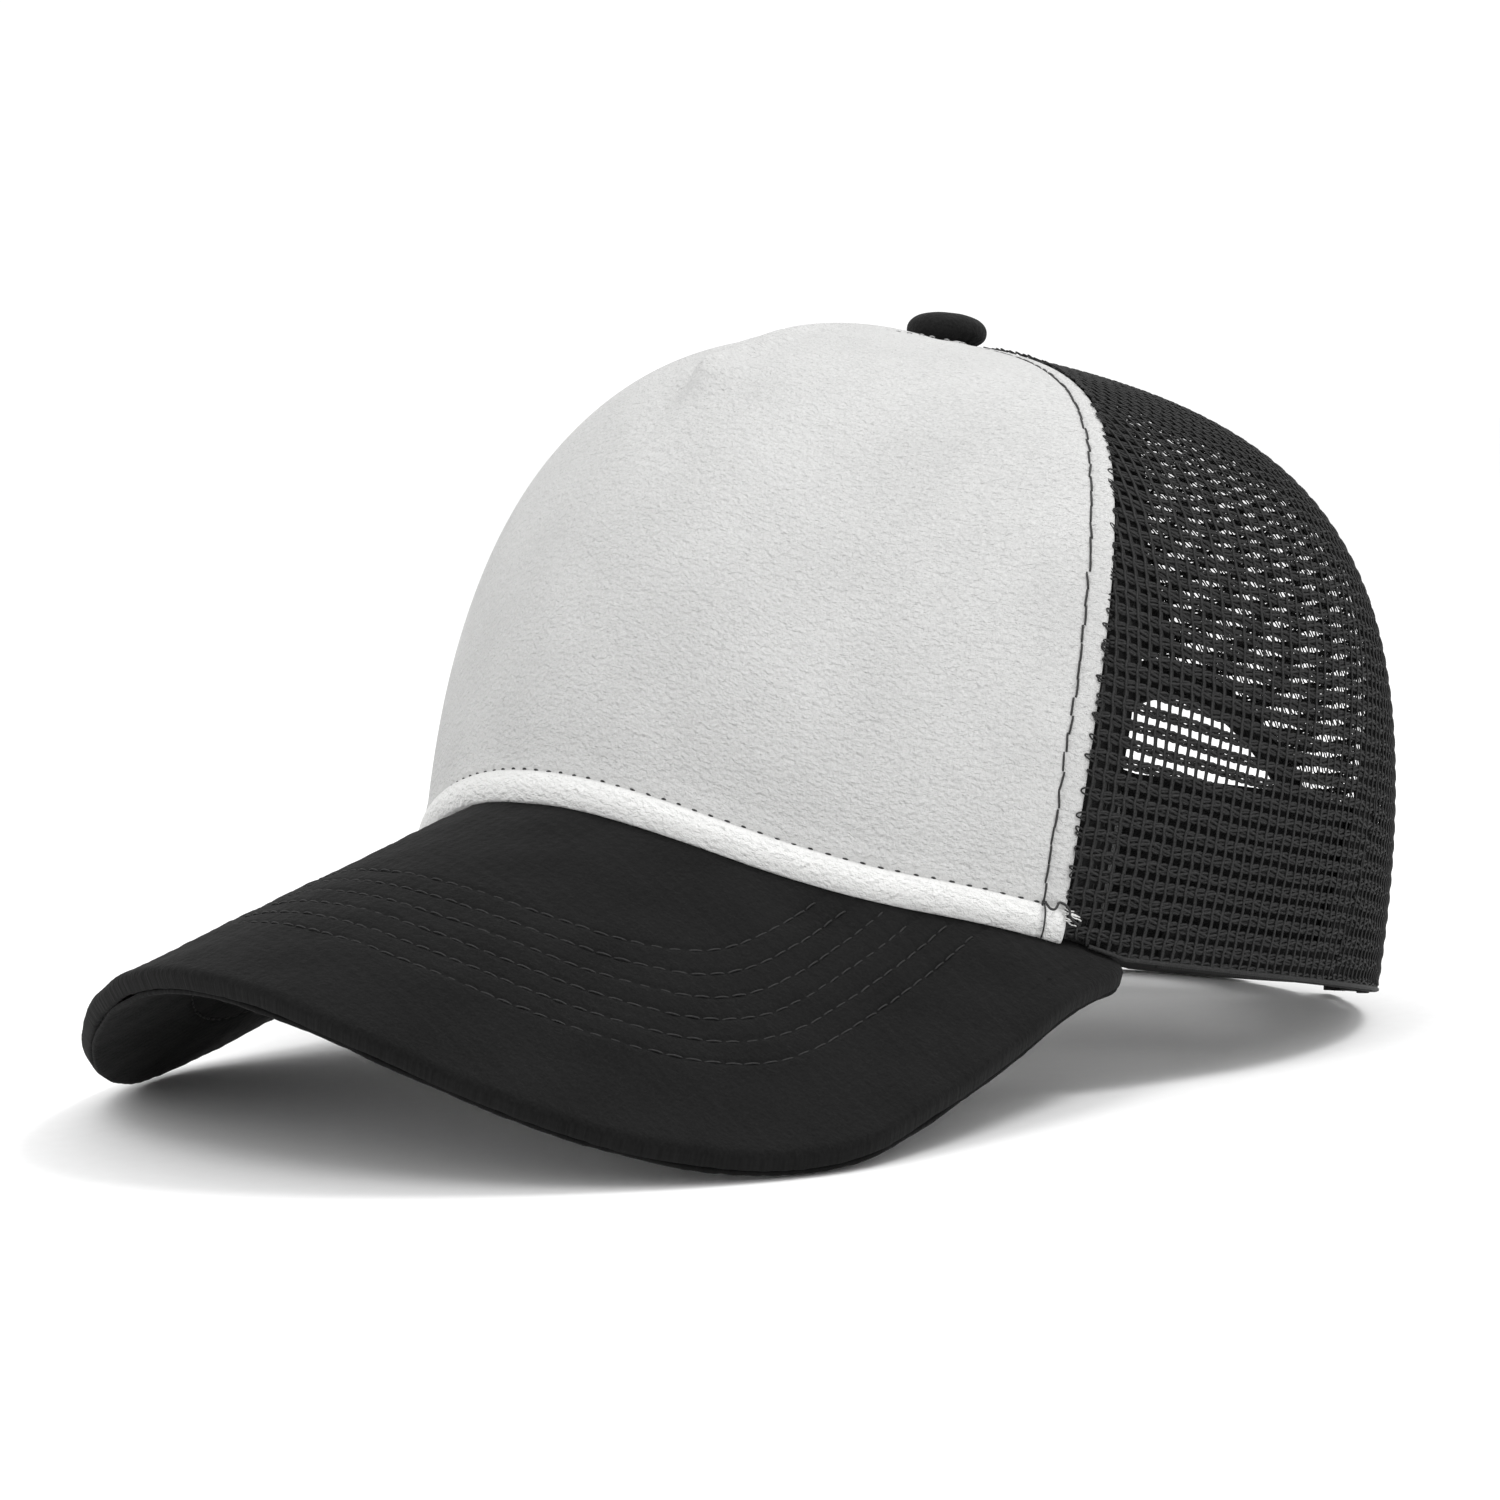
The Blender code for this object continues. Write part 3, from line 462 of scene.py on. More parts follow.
def closed(outer, inner):
    """The points of a body between two grids, and their places in metres along the outer one."""
    flat = metres(outer).reshape(-1, 2)
    return np.concatenate([outer.reshape(-1, 3), inner.reshape(-1, 3)]), np.concatenate([flat, flat])


def ribbon(name, phi, t, depth, thick, look, node, round_power=10, faces=slab_faces):
    """A strip on the crown with rounded edges, open only where FACES leave it so; columns run across it."""
    a = np.linspace(-1, 1, phi.shape[1])[None, :]
    half = thick / 2 * np.maximum((1 - np.abs(a) ** round_power) ** (1 / round_power), 0.3)
    middle = depth + thick / 2
    points, uv = closed(skin(phi, t, middle - half), skin(phi, t, middle + half))
    piece(name, points, faces(*phi.shape), look, node, uv)


def tubes(name, lines, radius, look, sides=4, node=None, press=0.0):
    """Closed threads along lines, all in one piece: round, or pressed flat by a share of their radius.

    Each line is its points and, at each of them, the way out of the cloth.
    """
    turn = np.arange(sides) / sides * tau
    points, faces, count = [], [], 0
    for path, normal in lines:
        along = unit(np.gradient(path, axis=0))
        aside = unit(np.cross(along, normal))
        up = np.cross(aside, along)
        across, through = (1 + press) * np.cos(turn), (1 - press) * np.sin(turn)
        ring = across[None, :, None] * aside[:, None] + through[None, :, None] * up[:, None]
        points.append((path[:, None] + radius * ring).reshape(-1, 3))
        rows = len(path)
        faces.append(grid_faces(rows, sides, count, wrap=True))
        last = count + (rows - 1) * sides
        for k in range(0, sides - 2, 2):
            faces.append(np.array([[count, count + k + 3, count + k + 2, count + k + 1]]))
            faces.append(np.array([[last, last + k + 1, last + k + 2, last + k + 3]]))
        count += rows * sides
    piece(name, np.concatenate(points), np.concatenate(faces), look, node)


def resampled(points, normals, places):
    """Points and normals at distances along a line."""
    run = run_of(points)
    at = np.stack([np.interp(places, run, points[:, k]) for k in range(3)], -1)
    facing = np.stack([np.interp(places, run, normals[:, k]) for k in range(3)], -1)
    return at, unit(facing)


def stitched(points, normals, stitch, seed):
    """The lines of a row of stitches: each one rises from its needle hole and dips again."""
    rng = np.random.default_rng(seed)
    count = int(np.linalg.norm(np.diff(points, axis=0), axis=-1).sum() / stitch.pitch)
    lines = []
    rise = np.sin(np.linspace(0.04, 0.96, STITCH_POINTS) * pi) ** 0.5
    height = (rise * (stitch.lift + stitch.dip) - stitch.dip)[:, None]
    for k in range(count):
        start = (k + rng.uniform(-0.04, 0.04)) * stitch.pitch
        length = stitch.pitch * (stitch.share + rng.uniform(-0.05, 0.05))
        places = np.linspace(start, start + length, STITCH_POINTS)
        at, facing = resampled(points, normals, places)
        aside = unit(np.cross(np.gradient(at, axis=0), facing))
        slant = np.linspace(-1, 1, STITCH_POINTS)
        lean = rng.normal(0, stitch.wobble) + slant * rng.normal(0, stitch.wobble)
        lines.append((at + facing * height + aside * lean[:, None], facing))
    return lines


def sew(name, points, normals, stitch, seed, look="thread", sides=4):
    """A row of stitches along a line, as one piece."""
    tubes(name, stitched(points, normals, stitch, seed), stitch.radius, look, sides)


def crown_line(phi, t, depth=0.0):
    """The points and normals of a line on the crown."""
    return skin(phi, t, depth), outward(phi, t)


# ---- materials
def new_look(name):
    look = bpy.data.materials.new(name)
    look.use_nodes = True
    tree = look.node_tree
    return look, tree, tree.nodes["Principled BSDF"]


def feed(tree, node, inputs):
    """Sets a node's inputs: a socket is linked, and anything else is the input's own value."""
    for key, value in dict(inputs).items():
        if isinstance(value, bpy.types.NodeSocket):
            tree.links.new(value, node.inputs[key])
        else:
            node.inputs[key].default_value = value


def add(tree, kind, inputs=(), **settings):
    made = tree.nodes.new(kind)
    for key, value in settings.items():
        setattr(made, key, value)
    feed(tree, made, inputs)
    return made


def coordinates(tree, stretch=(1, 1, 1), kind="UV"):
    source = add(tree, "ShaderNodeTexCoord")
    return add(tree, "ShaderNodeMapping", {"Vector": source.outputs[kind], "Scale": stretch}).outputs[0]


def noise(tree, place, scale, detail=4.0, roughness=0.6):
    inputs = {"Vector": place, "Scale": scale, "Detail": detail, "Roughness": roughness}
    return add(tree, "ShaderNodeTexNoise", inputs).outputs[0]


def ramp(tree, value, low, high, first, last):
    """The value between LOW and HIGH as a colour between FIRST and LAST."""
    made = add(tree, "ShaderNodeValToRGB", {"Fac": value})
    made.color_ramp.elements[0].position, made.color_ramp.elements[1].position = low, high
    made.color_ramp.elements[0].color, made.color_ramp.elements[1].color = (*first, 1), (*last, 1)
    return made.outputs[0]


def combined(tree, one, other, operation="MULTIPLY"):
    return add(tree, "ShaderNodeMath", {0: one, 1: other}, operation=operation).outputs[0]


def bump(tree, shader, layers):
    """Stacks bumps on a shader: each layer is (height, strength, distance in metres)."""
    normal = None
    for height, strength, distance in layers:
        inputs = {"Height": height, "Strength": strength, "Distance": distance}
        if normal is not None:
            inputs["Normal"] = normal
        normal = add(tree, "ShaderNodeBump", inputs).outputs[0]
    feed(tree, shader, {"Normal": normal})


def grey(level):
    return (level, level, level)


def shades(colour, dark, light):
    return [c * dark for c in colour], [min(1, c * light) for c in colour]


def suede(name, dark, light, grain, blotch, sheen, kind="UV", strip=None):
    """Brushed suede: a short nap that lies in slightly different ways from place to place, and, where STRIP
    is given, a painted highlight on the rolled hem strip.
    """
    look, tree, shader = new_look(name)
    place = coordinates(tree, kind=kind)
    nap = noise(tree, place, 1900, 3, 0.7)
    curl = noise(tree, coordinates(tree, (0.80, 1.10, 1.0), kind), 900, 3, 0.6)
    patches = noise(tree, place, blotch, 3, 0.5)
    mixed_in = combined(tree, combined(tree, nap, 0.7), combined(tree, patches, 0.3), "ADD")
    colour = ramp(tree, mixed_in, 0.34, 0.66, dark, light)
    # Painted highlight: the rolled hem strip above the brim is the same suede, painted in a lighter colour
    # as if it caught more light.
    if strip:
        up = add(tree, "ShaderNodeSeparateXYZ", {"Vector": place}).outputs[1]
        share = ramp(tree, up, HEM_STRIP - 0.0003, HEM_STRIP + 0.0004, grey(1), grey(0))
        colour = add(tree, "ShaderNodeMixRGB", {0: share, 1: colour, 2: (*strip, 1)}).outputs[0]
    feed(tree, shader, {"Base Color": colour, "Roughness": 0.96, "Specular IOR Level": 0.12})
    feed(tree, shader, {"Sheen Weight": sheen, "Sheen Roughness": 0.55})
    bump(tree, shader, [(curl, grain, 0.00095), (nap, grain * 0.8, 0.00030)])
    return look


def woven(name, colour, rough, ribs, strength, kind="UV"):
    """A twill: fine slanted ribs with a little unevenness."""
    look, tree, shader = new_look(name)
    place = coordinates(tree, kind=kind)
    slanted = add(tree, "ShaderNodeMapping", {"Vector": place, "Rotation": (0, 0, 0.9)}).outputs[0]
    inputs = {"Vector": slanted, "Scale": ribs, "Distortion": 1.2, "Detail": 2.0, "Detail Scale": 2.0}
    rib = add(tree, "ShaderNodeTexWave", inputs).outputs[1]
    lint = noise(tree, place, 900, 4, 0.7)
    shade = combined(tree, combined(tree, rib, 0.5), combined(tree, lint, 0.5), "ADD")
    cloth = ramp(tree, shade, 0.2, 0.8, *shades(colour, 0.7, 1.35))
    feed(tree, shader, {"Base Color": cloth, "Roughness": rough, "Specular IOR Level": 0.25})
    bump(tree, shader, [(rib, strength, 0.00012), (lint, strength * 0.6, 0.0001)])
    return look


def threads(name, colour, rough=0.6, gloss=0.35):
    """Spun yarn: its plies show as slanting glints."""
    look, tree, shader = new_look(name)
    place = coordinates(tree, (1, 1, 1.6), "Object")
    ply = noise(tree, place, 2600, 2, 0.6)
    yarn = ramp(tree, ply, 0.35, 0.65, *shades(colour, 0.65, 1.5))
    feed(tree, shader, {"Base Color": yarn, "Roughness": rough, "Specular IOR Level": gloss})
    bump(tree, shader, [(ply, 0.5, 0.00008)])
    return look


def moulded(name, colour, rough, texture):
    """Moulded plastic with a fine spark texture and faint handling marks."""
    look, tree, shader = new_look(name)
    place = coordinates(tree, kind="Object")
    spark = noise(tree, place, 1400, 3, 0.5)
    marks = noise(tree, place, 90, 4, 0.6)
    plastic = ramp(tree, marks, 0.3, 0.7, *shades(colour, 0.85, 1.15))
    rougher = ramp(tree, marks, 0.25, 0.75, *shades(grey(rough), 0.85, 1.2))
    feed(tree, shader, {"Base Color": plastic, "Roughness": rougher})
    bump(tree, shader, [(spark, texture, 0.00005)])
    return look


def plated(name):
    look, tree, shader = new_look(name)
    brushed = noise(tree, coordinates(tree, (1, 1, 12), "Object"), 900, 3, 0.5)
    steel = ramp(tree, brushed, 0.3, 0.7, (0.45, 0.45, 0.44), (0.62, 0.62, 0.6))
    feed(tree, shader, {"Base Color": steel, "Metallic": 1.0, "Roughness": 0.34})
    bump(tree, shader, [(brushed, 0.15, 0.00003)])
    return look


# The third colour is a painted highlight: the rolled hem strip is the same suede as the panel, painted
# lighter as if it caught more light.
WHITE_DARK, WHITE_LIGHT, WHITE_STRIP_HIGHLIGHT = (0.49, 0.49, 0.486), (0.62, 0.62, 0.615), (0.80, 0.80, 0.79)
LOOKS = {
    "white": suede("white suede", WHITE_DARK, WHITE_LIGHT, 1.0, 45, 0.05, "UV", WHITE_STRIP_HIGHLIGHT),
    "black": suede("black suede", grey(0.003), grey(0.009), 0.35, 60, 0.02),
    "button": suede("button suede", grey(0.007), grey(0.015), 0.5, 120, 0.03, "Object"),
    "net": threads("net yarn", grey(0.020), 0.65, 0.2),
    "thread": threads("black thread", grey(0.018), 0.5, 0.4),
    "brim_thread": threads("brim thread", grey(0.015), 0.65, 0.3),
    "grey_thread": threads("dart thread", grey(0.30), 0.7, 0.2),
    "white_thread": threads("white thread", (0.62, 0.62, 0.61), 0.6, 0.3),
    "tape": woven("seam tape", grey(0.011), 0.85, 900, 0.5),
    "twill": woven("sweatband twill", grey(0.008), 0.88, 700, 0.6),
    "label": woven("label cloth", (0.62, 0.62, 0.61), 0.8, 1400, 0.3),
    "buckram": woven("buckram", (0.66, 0.65, 0.62), 0.9, 500, 0.8, "Object"),
    "foam": suede("foam", grey(0.18), grey(0.26), 0.6, 200, 0.0),
    "plastic": moulded("strap plastic", grey(0.016), 0.42, 0.25),
    "board": moulded("brim board", (0.76, 0.75, 0.71), 0.5, 0.2),
    "metal": plated("plated steel"),
}


# ---- front panel
def spaced(length, fine_end, fine, coarse):
    """Shares of a length, close together over FINE_END at both ends and wider between."""
    ends = np.arange(0, fine_end, fine)
    inner = np.linspace(fine_end, length - fine_end, round((length - 2 * fine_end) / coarse))
    return np.concatenate([ends, inner, (length - ends)[::-1]]) / length


def front_waves(phi, t):
    """Soft waves of the front's suede."""
    return 0.0003 * ripple(phi, t * 1.6, SEED) * smoothstep(0.05, 0.25, t)


def strip_bulge(above_hem):
    """How far the rolled strip above the brim stands out."""
    return STRIP_RISE * np.sin(pi * np.clip(above_hem / HEM_STRIP, 0, 1)) ** 0.55


def front_relief(seam_distance, above_hem, below_top, aside):
    """How far the front's suede stands out: the rolled strip, the stitch lines and the dart."""
    relief = strip_bulge(above_hem) - 0.00045 * bell(above_hem - HEM_STRIP, 0.0004)
    relief += 0.00018 * bell(above_hem - HEM_STRIP - 0.0016, 0.0012)
    relief -= 0.00028 * bell(seam_distance - TOPSTITCH_IN, 0.0006)
    relief += 0.00022 * bell(seam_distance - TOPSTITCH_IN / 2, 0.0011)
    corner = np.clip(1 - seam_distance / 0.0012, 0, 1)
    relief -= 0.0013 * (1 - np.sqrt(np.maximum(1 - corner**2, 0)))
    aside = aside - DART_ASIDE
    reach = smoothstep(-0.002, 0.006, DART_LENGTH - below_top)
    fading = 0.3 + 0.7 * smoothstep(0.015, 0.055, below_top)
    relief -= 0.0010 * bell(aside, 0.0008) * reach
    relief += 0.0017 * bell(aside - 0.0034, 0.0026) * reach * fading
    relief += 0.0007 * bell(aside + 0.0026, 0.0018) * reach * fading
    past_tip = below_top - DART_LENGTH
    relief += 0.0027 * bell(np.hypot(aside - 0.0052, past_tip + 0.0035), 0.0050)
    relief -= 0.0010 * bell(np.hypot(aside + 0.0006, 0.45 * (past_tip - 0.005)), 0.0032)
    return relief


def make_front():
    """The suede front: its rows follow the hem low down and even out towards the top."""
    across = spaced(FRONT_WIDTH, 0.005, 0.00025, 0.00052)[None, :]
    rise = np.concatenate([np.arange(0, 0.009, 0.00024), np.linspace(0.009, FRONT_HEIGHT, 270)])
    rise = rise[:, None] / FRONT_HEIGHT
    t = np.broadcast_to(rise * 0.9, (rise.size, across.size)).copy()
    for _ in range(5):
        phi = front_seam(t) * (2 * across - 1)
        low, high = hem_t(phi[0]), t_within(phi[-1], TOP_HOLE)
        near = low + rise_of(1.0, phi[0], low) * rise * FRONT_HEIGHT
        blend_in = smoothstep(0.0, 0.35, rise)
        t = near * (1 - blend_in) + (low + (high - low) * rise) * blend_in
    base = crown(phi, t)
    flat = metres(base)
    seam_distance = np.minimum(flat[..., 0] - flat[:, :1, 0], flat[:, -1:, 0] - flat[..., 0])
    below_top = flat[-1:, :, 1] - flat[..., 1] + TOP_HOLE
    aside = np.sign(phi) * np.linalg.norm(base - crown(0 * phi, t), axis=-1)
    relief = front_relief(seam_distance, flat[..., 1], below_top, aside) + front_waves(phi, t)
    relief[0] -= 0.0008
    piece("front", skin(phi, t, -relief), grid_faces(*phi.shape), "white", "front_panel", flat)


def topstitch_line():
    """PHI and T of the line, in front of the front seam, that the topstitch follows from the hem up."""
    share = np.linspace(0, 1, 220)
    t = 0.98 * share
    for _ in range(3):
        phi = beside(front_seam, t, -TOPSTITCH_IN)
        base = hem_t(phi[:1])
        t = base + (t_within(phi[-1:], FRONT_LINE_TOP) - base) * share
    return beside(front_seam, t, -TOPSTITCH_IN), t


def make_front_stitching():
    """The stitching along the seams, above the rolled strip and on both sides of the dart."""
    phi, t = topstitch_line()
    for side, word in SIDES:
        line = crown_line(side * phi, t, 0.00018 - front_waves(side * phi, t))
        sew(f"topstitch_{word}", *line, TOPSTITCH, SEED + side, sides=6)
    phi = np.linspace(-1, 1, 400) * front_seam(STRIP_END_T) * 0.99
    t = above_hem(phi, HEM_STRIP + 0.0002)
    line = crown_line(phi, t, 0.00042 - front_waves(phi, t))
    sew("hem_stitches", *line, HEM_STITCH, SEED + 3, sides=6)
    rise = np.linspace(0.3, 1, 400)
    down = run_of(crown(np.zeros(400), rise)[::-1])
    t = np.interp(np.linspace(0.012, DART_LENGTH - 0.004, 60), down, rise[::-1])
    for (side, word), depth in zip(SIDES, (0.00002, -0.00022)):
        phi = angle_of(DART_ASIDE + side * DART_STITCH_ASIDE, np.zeros_like(t), t)
        sew(f"dart_stitches_{word}", *crown_line(phi, t, depth), DART_STITCH, SEED + 5, "grey_thread", 6)


# ---- knitted net
class Cloth:
    """A flat cloth laid on the crown: U runs along its rows from a middle meridian, V up that meridian."""

    def __init__(self, middle_deg, reach_deg):
        reach = radians(reach_deg)
        self.t = np.linspace(0.0, 0.999, 181)
        phi = radians(middle_deg) + np.linspace(-reach, reach, 301)
        points = crown(phi[None, :], self.t[:, None])
        run = metres(points)[..., 0]
        self.v = run_of(points[:, 150])
        self.u = np.linspace(-0.11, 0.11, 441)
        self.phi = np.stack([np.interp(self.u, row, phi, OUT_OF_REACH, OUT_OF_REACH) for row in run])

    def at(self, u, v):
        """PHI and T at places on the cloth; PHI is over half OUT_OF_REACH where the cloth doesn't reach."""
        t = np.interp(v, self.v, self.t)
        row = t / self.t[-1] * (len(self.t) - 1)
        column = np.clip((u - self.u[0]) / (self.u[1] - self.u[0]), 0, len(self.u) - 1.001)
        i, j = np.minimum(row.astype(int), len(self.t) - 2), column.astype(int)
        a, b = row - i, column - j
        low = self.phi[i, j] * (1 - b) + self.phi[i, j + 1] * b
        high = self.phi[i + 1, j] * (1 - b) + self.phi[i + 1, j + 1] * b
        return low * (1 - a) + high * a, t


def saw(place):
    """A wave of straight slopes between -1 and 1, one unit long."""
    return 1 - 4 * np.abs(place % 1 - 0.5)


def net_yarns(cloth):
    """U, V and depth of each yarn of the knit: five along each row and two up each column."""
    rng = np.random.default_rng(SEED)
    yarns = []
    u = np.arange(-0.085, 0.085, NET_COLUMN / 4)
    for row in range(int(cloth.v[-1] / NET_ROW) + 1):
        middle = (row + NET_ROW_START) * NET_ROW + 0.00012 * ripple(u * 60, row + 0 * u, SEED + row)
        lean = rng.uniform(0, 1)
        for side in (-1, 1):
            round_in = 0.00011 * np.cos(tau * u / NET_COLUMN)
            yarns.append((u, middle + side * (NET_BAND - round_in), np.full_like(u, NET_MIDDLE)))
        for k in range(3):
            slant = saw(u / (4 * NET_COLUMN) + k / 3 + lean)
            depth = NET_MIDDLE + (k - 1) * 0.00016
            yarns.append((u, middle + NET_BAND * 0.8 * slant, np.full_like(u, depth)))
    v = np.arange(0, cloth.v[-1], NET_ROW / 4)
    for column in range(-41, 42):
        sway = 0.00008 * np.sin(tau * v / NET_ROW * 0.5 + column) + rng.normal(0, 0.00005)
        for side in (-1, 1):
            apart = side * NET_PAIR * (0.66 + 0.34 * np.cos(tau * (v / NET_ROW - NET_ROW_START)))
            yarns.append((column * NET_COLUMN + sway + apart, v, NET_MIDDLE + 0.8 * apart))
    return yarns


def runs(inside):
    """The stretches of a line that lie inside, as slices."""
    edges = np.flatnonzero(np.diff(np.concatenate([[0], inside.astype(int), [0]])))
    return [slice(a, b) for a, b in zip(edges[::2], edges[1::2]) if b - a >= 3]


def make_net(name, node, side, laid, inside):
    """One mesh panel: the yarns, where they are INSIDE it, of a cloth; LAID is its middle and reach."""
    cloth = Cloth(*laid)
    yarns = net_yarns(cloth)
    u, v, depth = [np.concatenate(parts) for parts in zip(*yarns)]
    phi, t = cloth.at(u, v)
    reached = phi < OUT_OF_REACH / 2
    keep = reached & inside(phi, t)
    phi = np.where(reached, phi, radians(laid[0]))
    points, normals = crown_line(side * phi, t, depth)
    lines, start = [], 0
    for yarn in yarns:
        stop = start + len(yarn[0])
        for part in runs(keep[start:stop]):
            lines.append((points[start:stop][part], normals[start:stop][part]))
        start = stop
    tubes(name, lines, NET_YARN, "net", 4, node, NET_PRESS)


def in_side(phi, t):
    return (phi > front_seam(t)) & (phi < side_seam(t)) & (t > hem_t(phi) + 0.003) & (t < NET_TOP)


def in_back(phi, t):
    height = crown(phi, t)[..., 2]
    half = radians(ARCH_HALF_DEG + ARCH_BAND_DEG * 0.7)
    clear = ((pi - phi) / half) ** 2 + (height / (ARCH_HEIGHT + ARCH_BAND_WIDTH * 0.7)) ** 2 > 1
    return (phi > side_seam(t)) & (phi < pi) & clear & (t < NET_TOP) & (t > EDGE_T)


def make_loops():
    """The cut ends of the net's rows, which poke over the white suede as small loops."""
    rng = np.random.default_rng(SEED)
    cloth = Cloth(*LOOPS_CLOTH)
    turn = np.linspace(0, pi, 11)
    for side, word in SIDES:
        lines = []
        for row in range(2, int(cloth.v[-1] / NET_ROW) - 5):
            for _ in range(rng.integers(1, 4)):
                v = (row + NET_ROW_START + rng.uniform(-0.25, 0.25)) * NET_ROW
                t = np.interp(v, cloth.v, cloth.t)
                reach = rng.uniform(0.0007, 0.0017) * np.sin(turn) ** 0.8
                up = rng.uniform(0.0003, 0.0006) * np.cos(turn) + rng.uniform(-0.5, 0.5) * reach
                t = t + rise_of(up, front_seam(t), t)
                phi = beside(front_seam, t, 0.0002 - reach)
                lift = 0.0001 + rng.uniform(0.0001, 0.0004) * np.sin(turn)
                lines.append(crown_line(side * phi, t, -lift))
        tubes(f"net_loops_{word}", lines, 0.00015, "net", 6)


# ---- tapes, sweatband, binding
def seam_tape(name, node, seam, side, reach, low):
    """A tape inside a seam, sewn in two rows; REACH is its width ahead of the seam and behind it."""
    s = np.linspace(0, 1, 13)[None, :]
    w = np.linspace(0, 1, 150)[:, None]
    t = np.broadcast_to(w * 0.9, (150, 13))
    for _ in range(5):
        first, last = beside(seam, t, -reach[0]), beside(seam, t, reach[1])
        phi = first * (1 - s) + last * s
        base = np.maximum(hem_t(phi) + EDGE_T, low)
        t = base + (t_within(phi, TAPE_TOP_RADIUS) - base) * w
    depth = MESH + GAP + 0.00012 * ripple(s * 1.5, w * 14, SEED + len(name))
    if side == RIGHT:
        phi, t, depth = -phi[:, ::-1], t[:, ::-1], depth[:, ::-1]
    ribbon(name, phi, t, depth, TAPE, "tape", node)
    for k, column in enumerate((2, 10)):
        line = crown_line(phi[:, column], t[:, column], depth[:, column])
        sew(f"{name}_stitches_{k}", *line, TAPE_STITCH, SEED + k)


def make_rim_tape(word, side):
    """The tape inside the rim, and the net's folded edge under it."""
    first, last = radians(72), pi - radians(ARCH_HALF_DEG + ARCH_BAND_DEG) - 0.16
    phi = np.broadcast_to(np.linspace(first, last, 160)[::-1][:, None], (160, 9))
    t = t_at(phi, np.broadcast_to(np.linspace(0, RIM_TAPE, 9)[None, :], phi.shape))
    if side == RIGHT:
        phi, t = -phi[::-1], t[::-1]
    ribbon(f"tape_rim_{word}", phi, t, MESH + GAP, TAPE, "tape", f"rim_tape_{word}")
    phi = np.linspace(radians(64), pi - radians(ARCH_HALF_DEG), 300)
    edges = [crown_line(side * phi, hem_t(phi) + EDGE_T, depth) for depth in (0.0002, 0.0006)]
    tubes(f"net_edge_{word}", edges, 0.0004, "net", 6)


def make_tapes():
    for side, word in SIDES:
        seam_tape(f"tape_front_{word}", f"front_seam_tape_{word}", front_seam, side, FRONT_TAPE, 0.0)
        seam_tape(f"tape_side_{word}", f"side_seam_tape_{word}", side_seam, side, PLAIN_TAPE, 0.0)
        make_rim_tape(word, side)
    above = arch(np.full(1, pi / 2), 1.3)[1][0]
    seam_tape("tape_back", "back_seam_tape", back_centre, LEFT, PLAIN_TAPE, above)


def make_arch():
    """The band folded over the edge of the rear arch, sewn in two rows that show on both faces."""
    a = np.linspace(0.004, pi - 0.004, 200)[:, None]
    widen = np.linspace(-0.04, 1.06, 17)[None, :]
    phi, t = arch(a + 0 * widen, widen + 0 * a)
    t = np.maximum(t, 0.001)
    depth, thick = ARCH_BAND_DEPTH, ARCH_BAND_THICK
    ribbon("arch_band", phi, t, depth, thick, "tape", "arch_binding", 6, fold_faces)
    for k, share in enumerate((0.2, 0.8)):
        phi, t = arch(a[:, 0], share)
        for word, below, facing in (("out", depth, 1), ("in", depth + thick, -1)):
            points, normals = crown_line(phi, t, below)
            sew(f"arch_stitches_{word}_{k}", points, facing * normals, ARCH_STITCH, SEED + k)


def band_place(half_angle, low, high, columns, rows):
    """PHI, T and height over the hem of a grid on the crown, from one side round the front to the other."""
    phi = np.linspace(-half_angle, half_angle, columns)[None, :] + np.zeros((rows, 1))
    base = crown(phi[0], hem_t(phi[0]))[..., 2]
    height = np.linspace(low, high, rows)[:, None]
    return phi, t_at(phi, base + height), height


def band_depth(phi):
    """How far inside the crown the sweatband lies: closer at the sides than at the pad and the strap."""
    turn = np.degrees(np.abs(phi))
    side = smoothstep(66, 74, turn) - smoothstep(122, 130, turn)
    return BAND_DEPTH + (BAND_SIDE_DEPTH - BAND_DEPTH) * side


def make_sweatband():
    """The twill band: sewn at the rim, standing away from the net, with its top edge folded over."""
    half_angle = pi - radians(ARCH_HALF_DEG + ARCH_BAND_DEG)
    phi, t, height = band_place(half_angle, BAND_LOW, BAND_HEIGHT, 700, 44)
    away = smoothstep(BAND_LOW, 0.012, height)
    pucker = 0.00025 * ripple(phi * 5, height * 60, SEED) * away
    fold = 0.0005 * smoothstep(BAND_HEIGHT - 0.006, BAND_HEIGHT - 0.004, height)
    hung = MESH + GAP + TAPE + 0.0004
    depth = hung + away * (band_depth(phi) - hung) + pucker
    half = 0.00045 + fold
    inner = skin(phi, t, depth + 2 * half)
    points, uv = closed(skin(phi, t, depth), inner)
    piece("band", points, slab_faces(*phi.shape), "twill", "sweatband", uv)
    for k, row in enumerate((6, 37)):
        sew(f"band_stitches_{k}", inner[row], -outward(phi[row], t[row]), BAND_STITCH, SEED + k)


def make_pad():
    """The thin foam between the sweatband and the front."""
    low, high = BAND_LOW + 0.004, BAND_HEIGHT - 0.004
    phi, t, height = band_place(radians(PAD_HALF_DEG), low, high, 180, 26)
    edge = np.clip(np.minimum(height - height[0], height[-1] - height) / 0.003, 0, 1) ** 0.5
    half = 0.0002 + 0.0004 * edge * (1 + 0.2 * ripple(phi * 4, height * 50, SEED))
    points, uv = closed(skin(phi, t, PAD_DEPTH - half), skin(phi, t, PAD_DEPTH + half))
    piece("band_pad", points, slab_faces(*phi.shape), "foam", "sweatband_pad", uv)


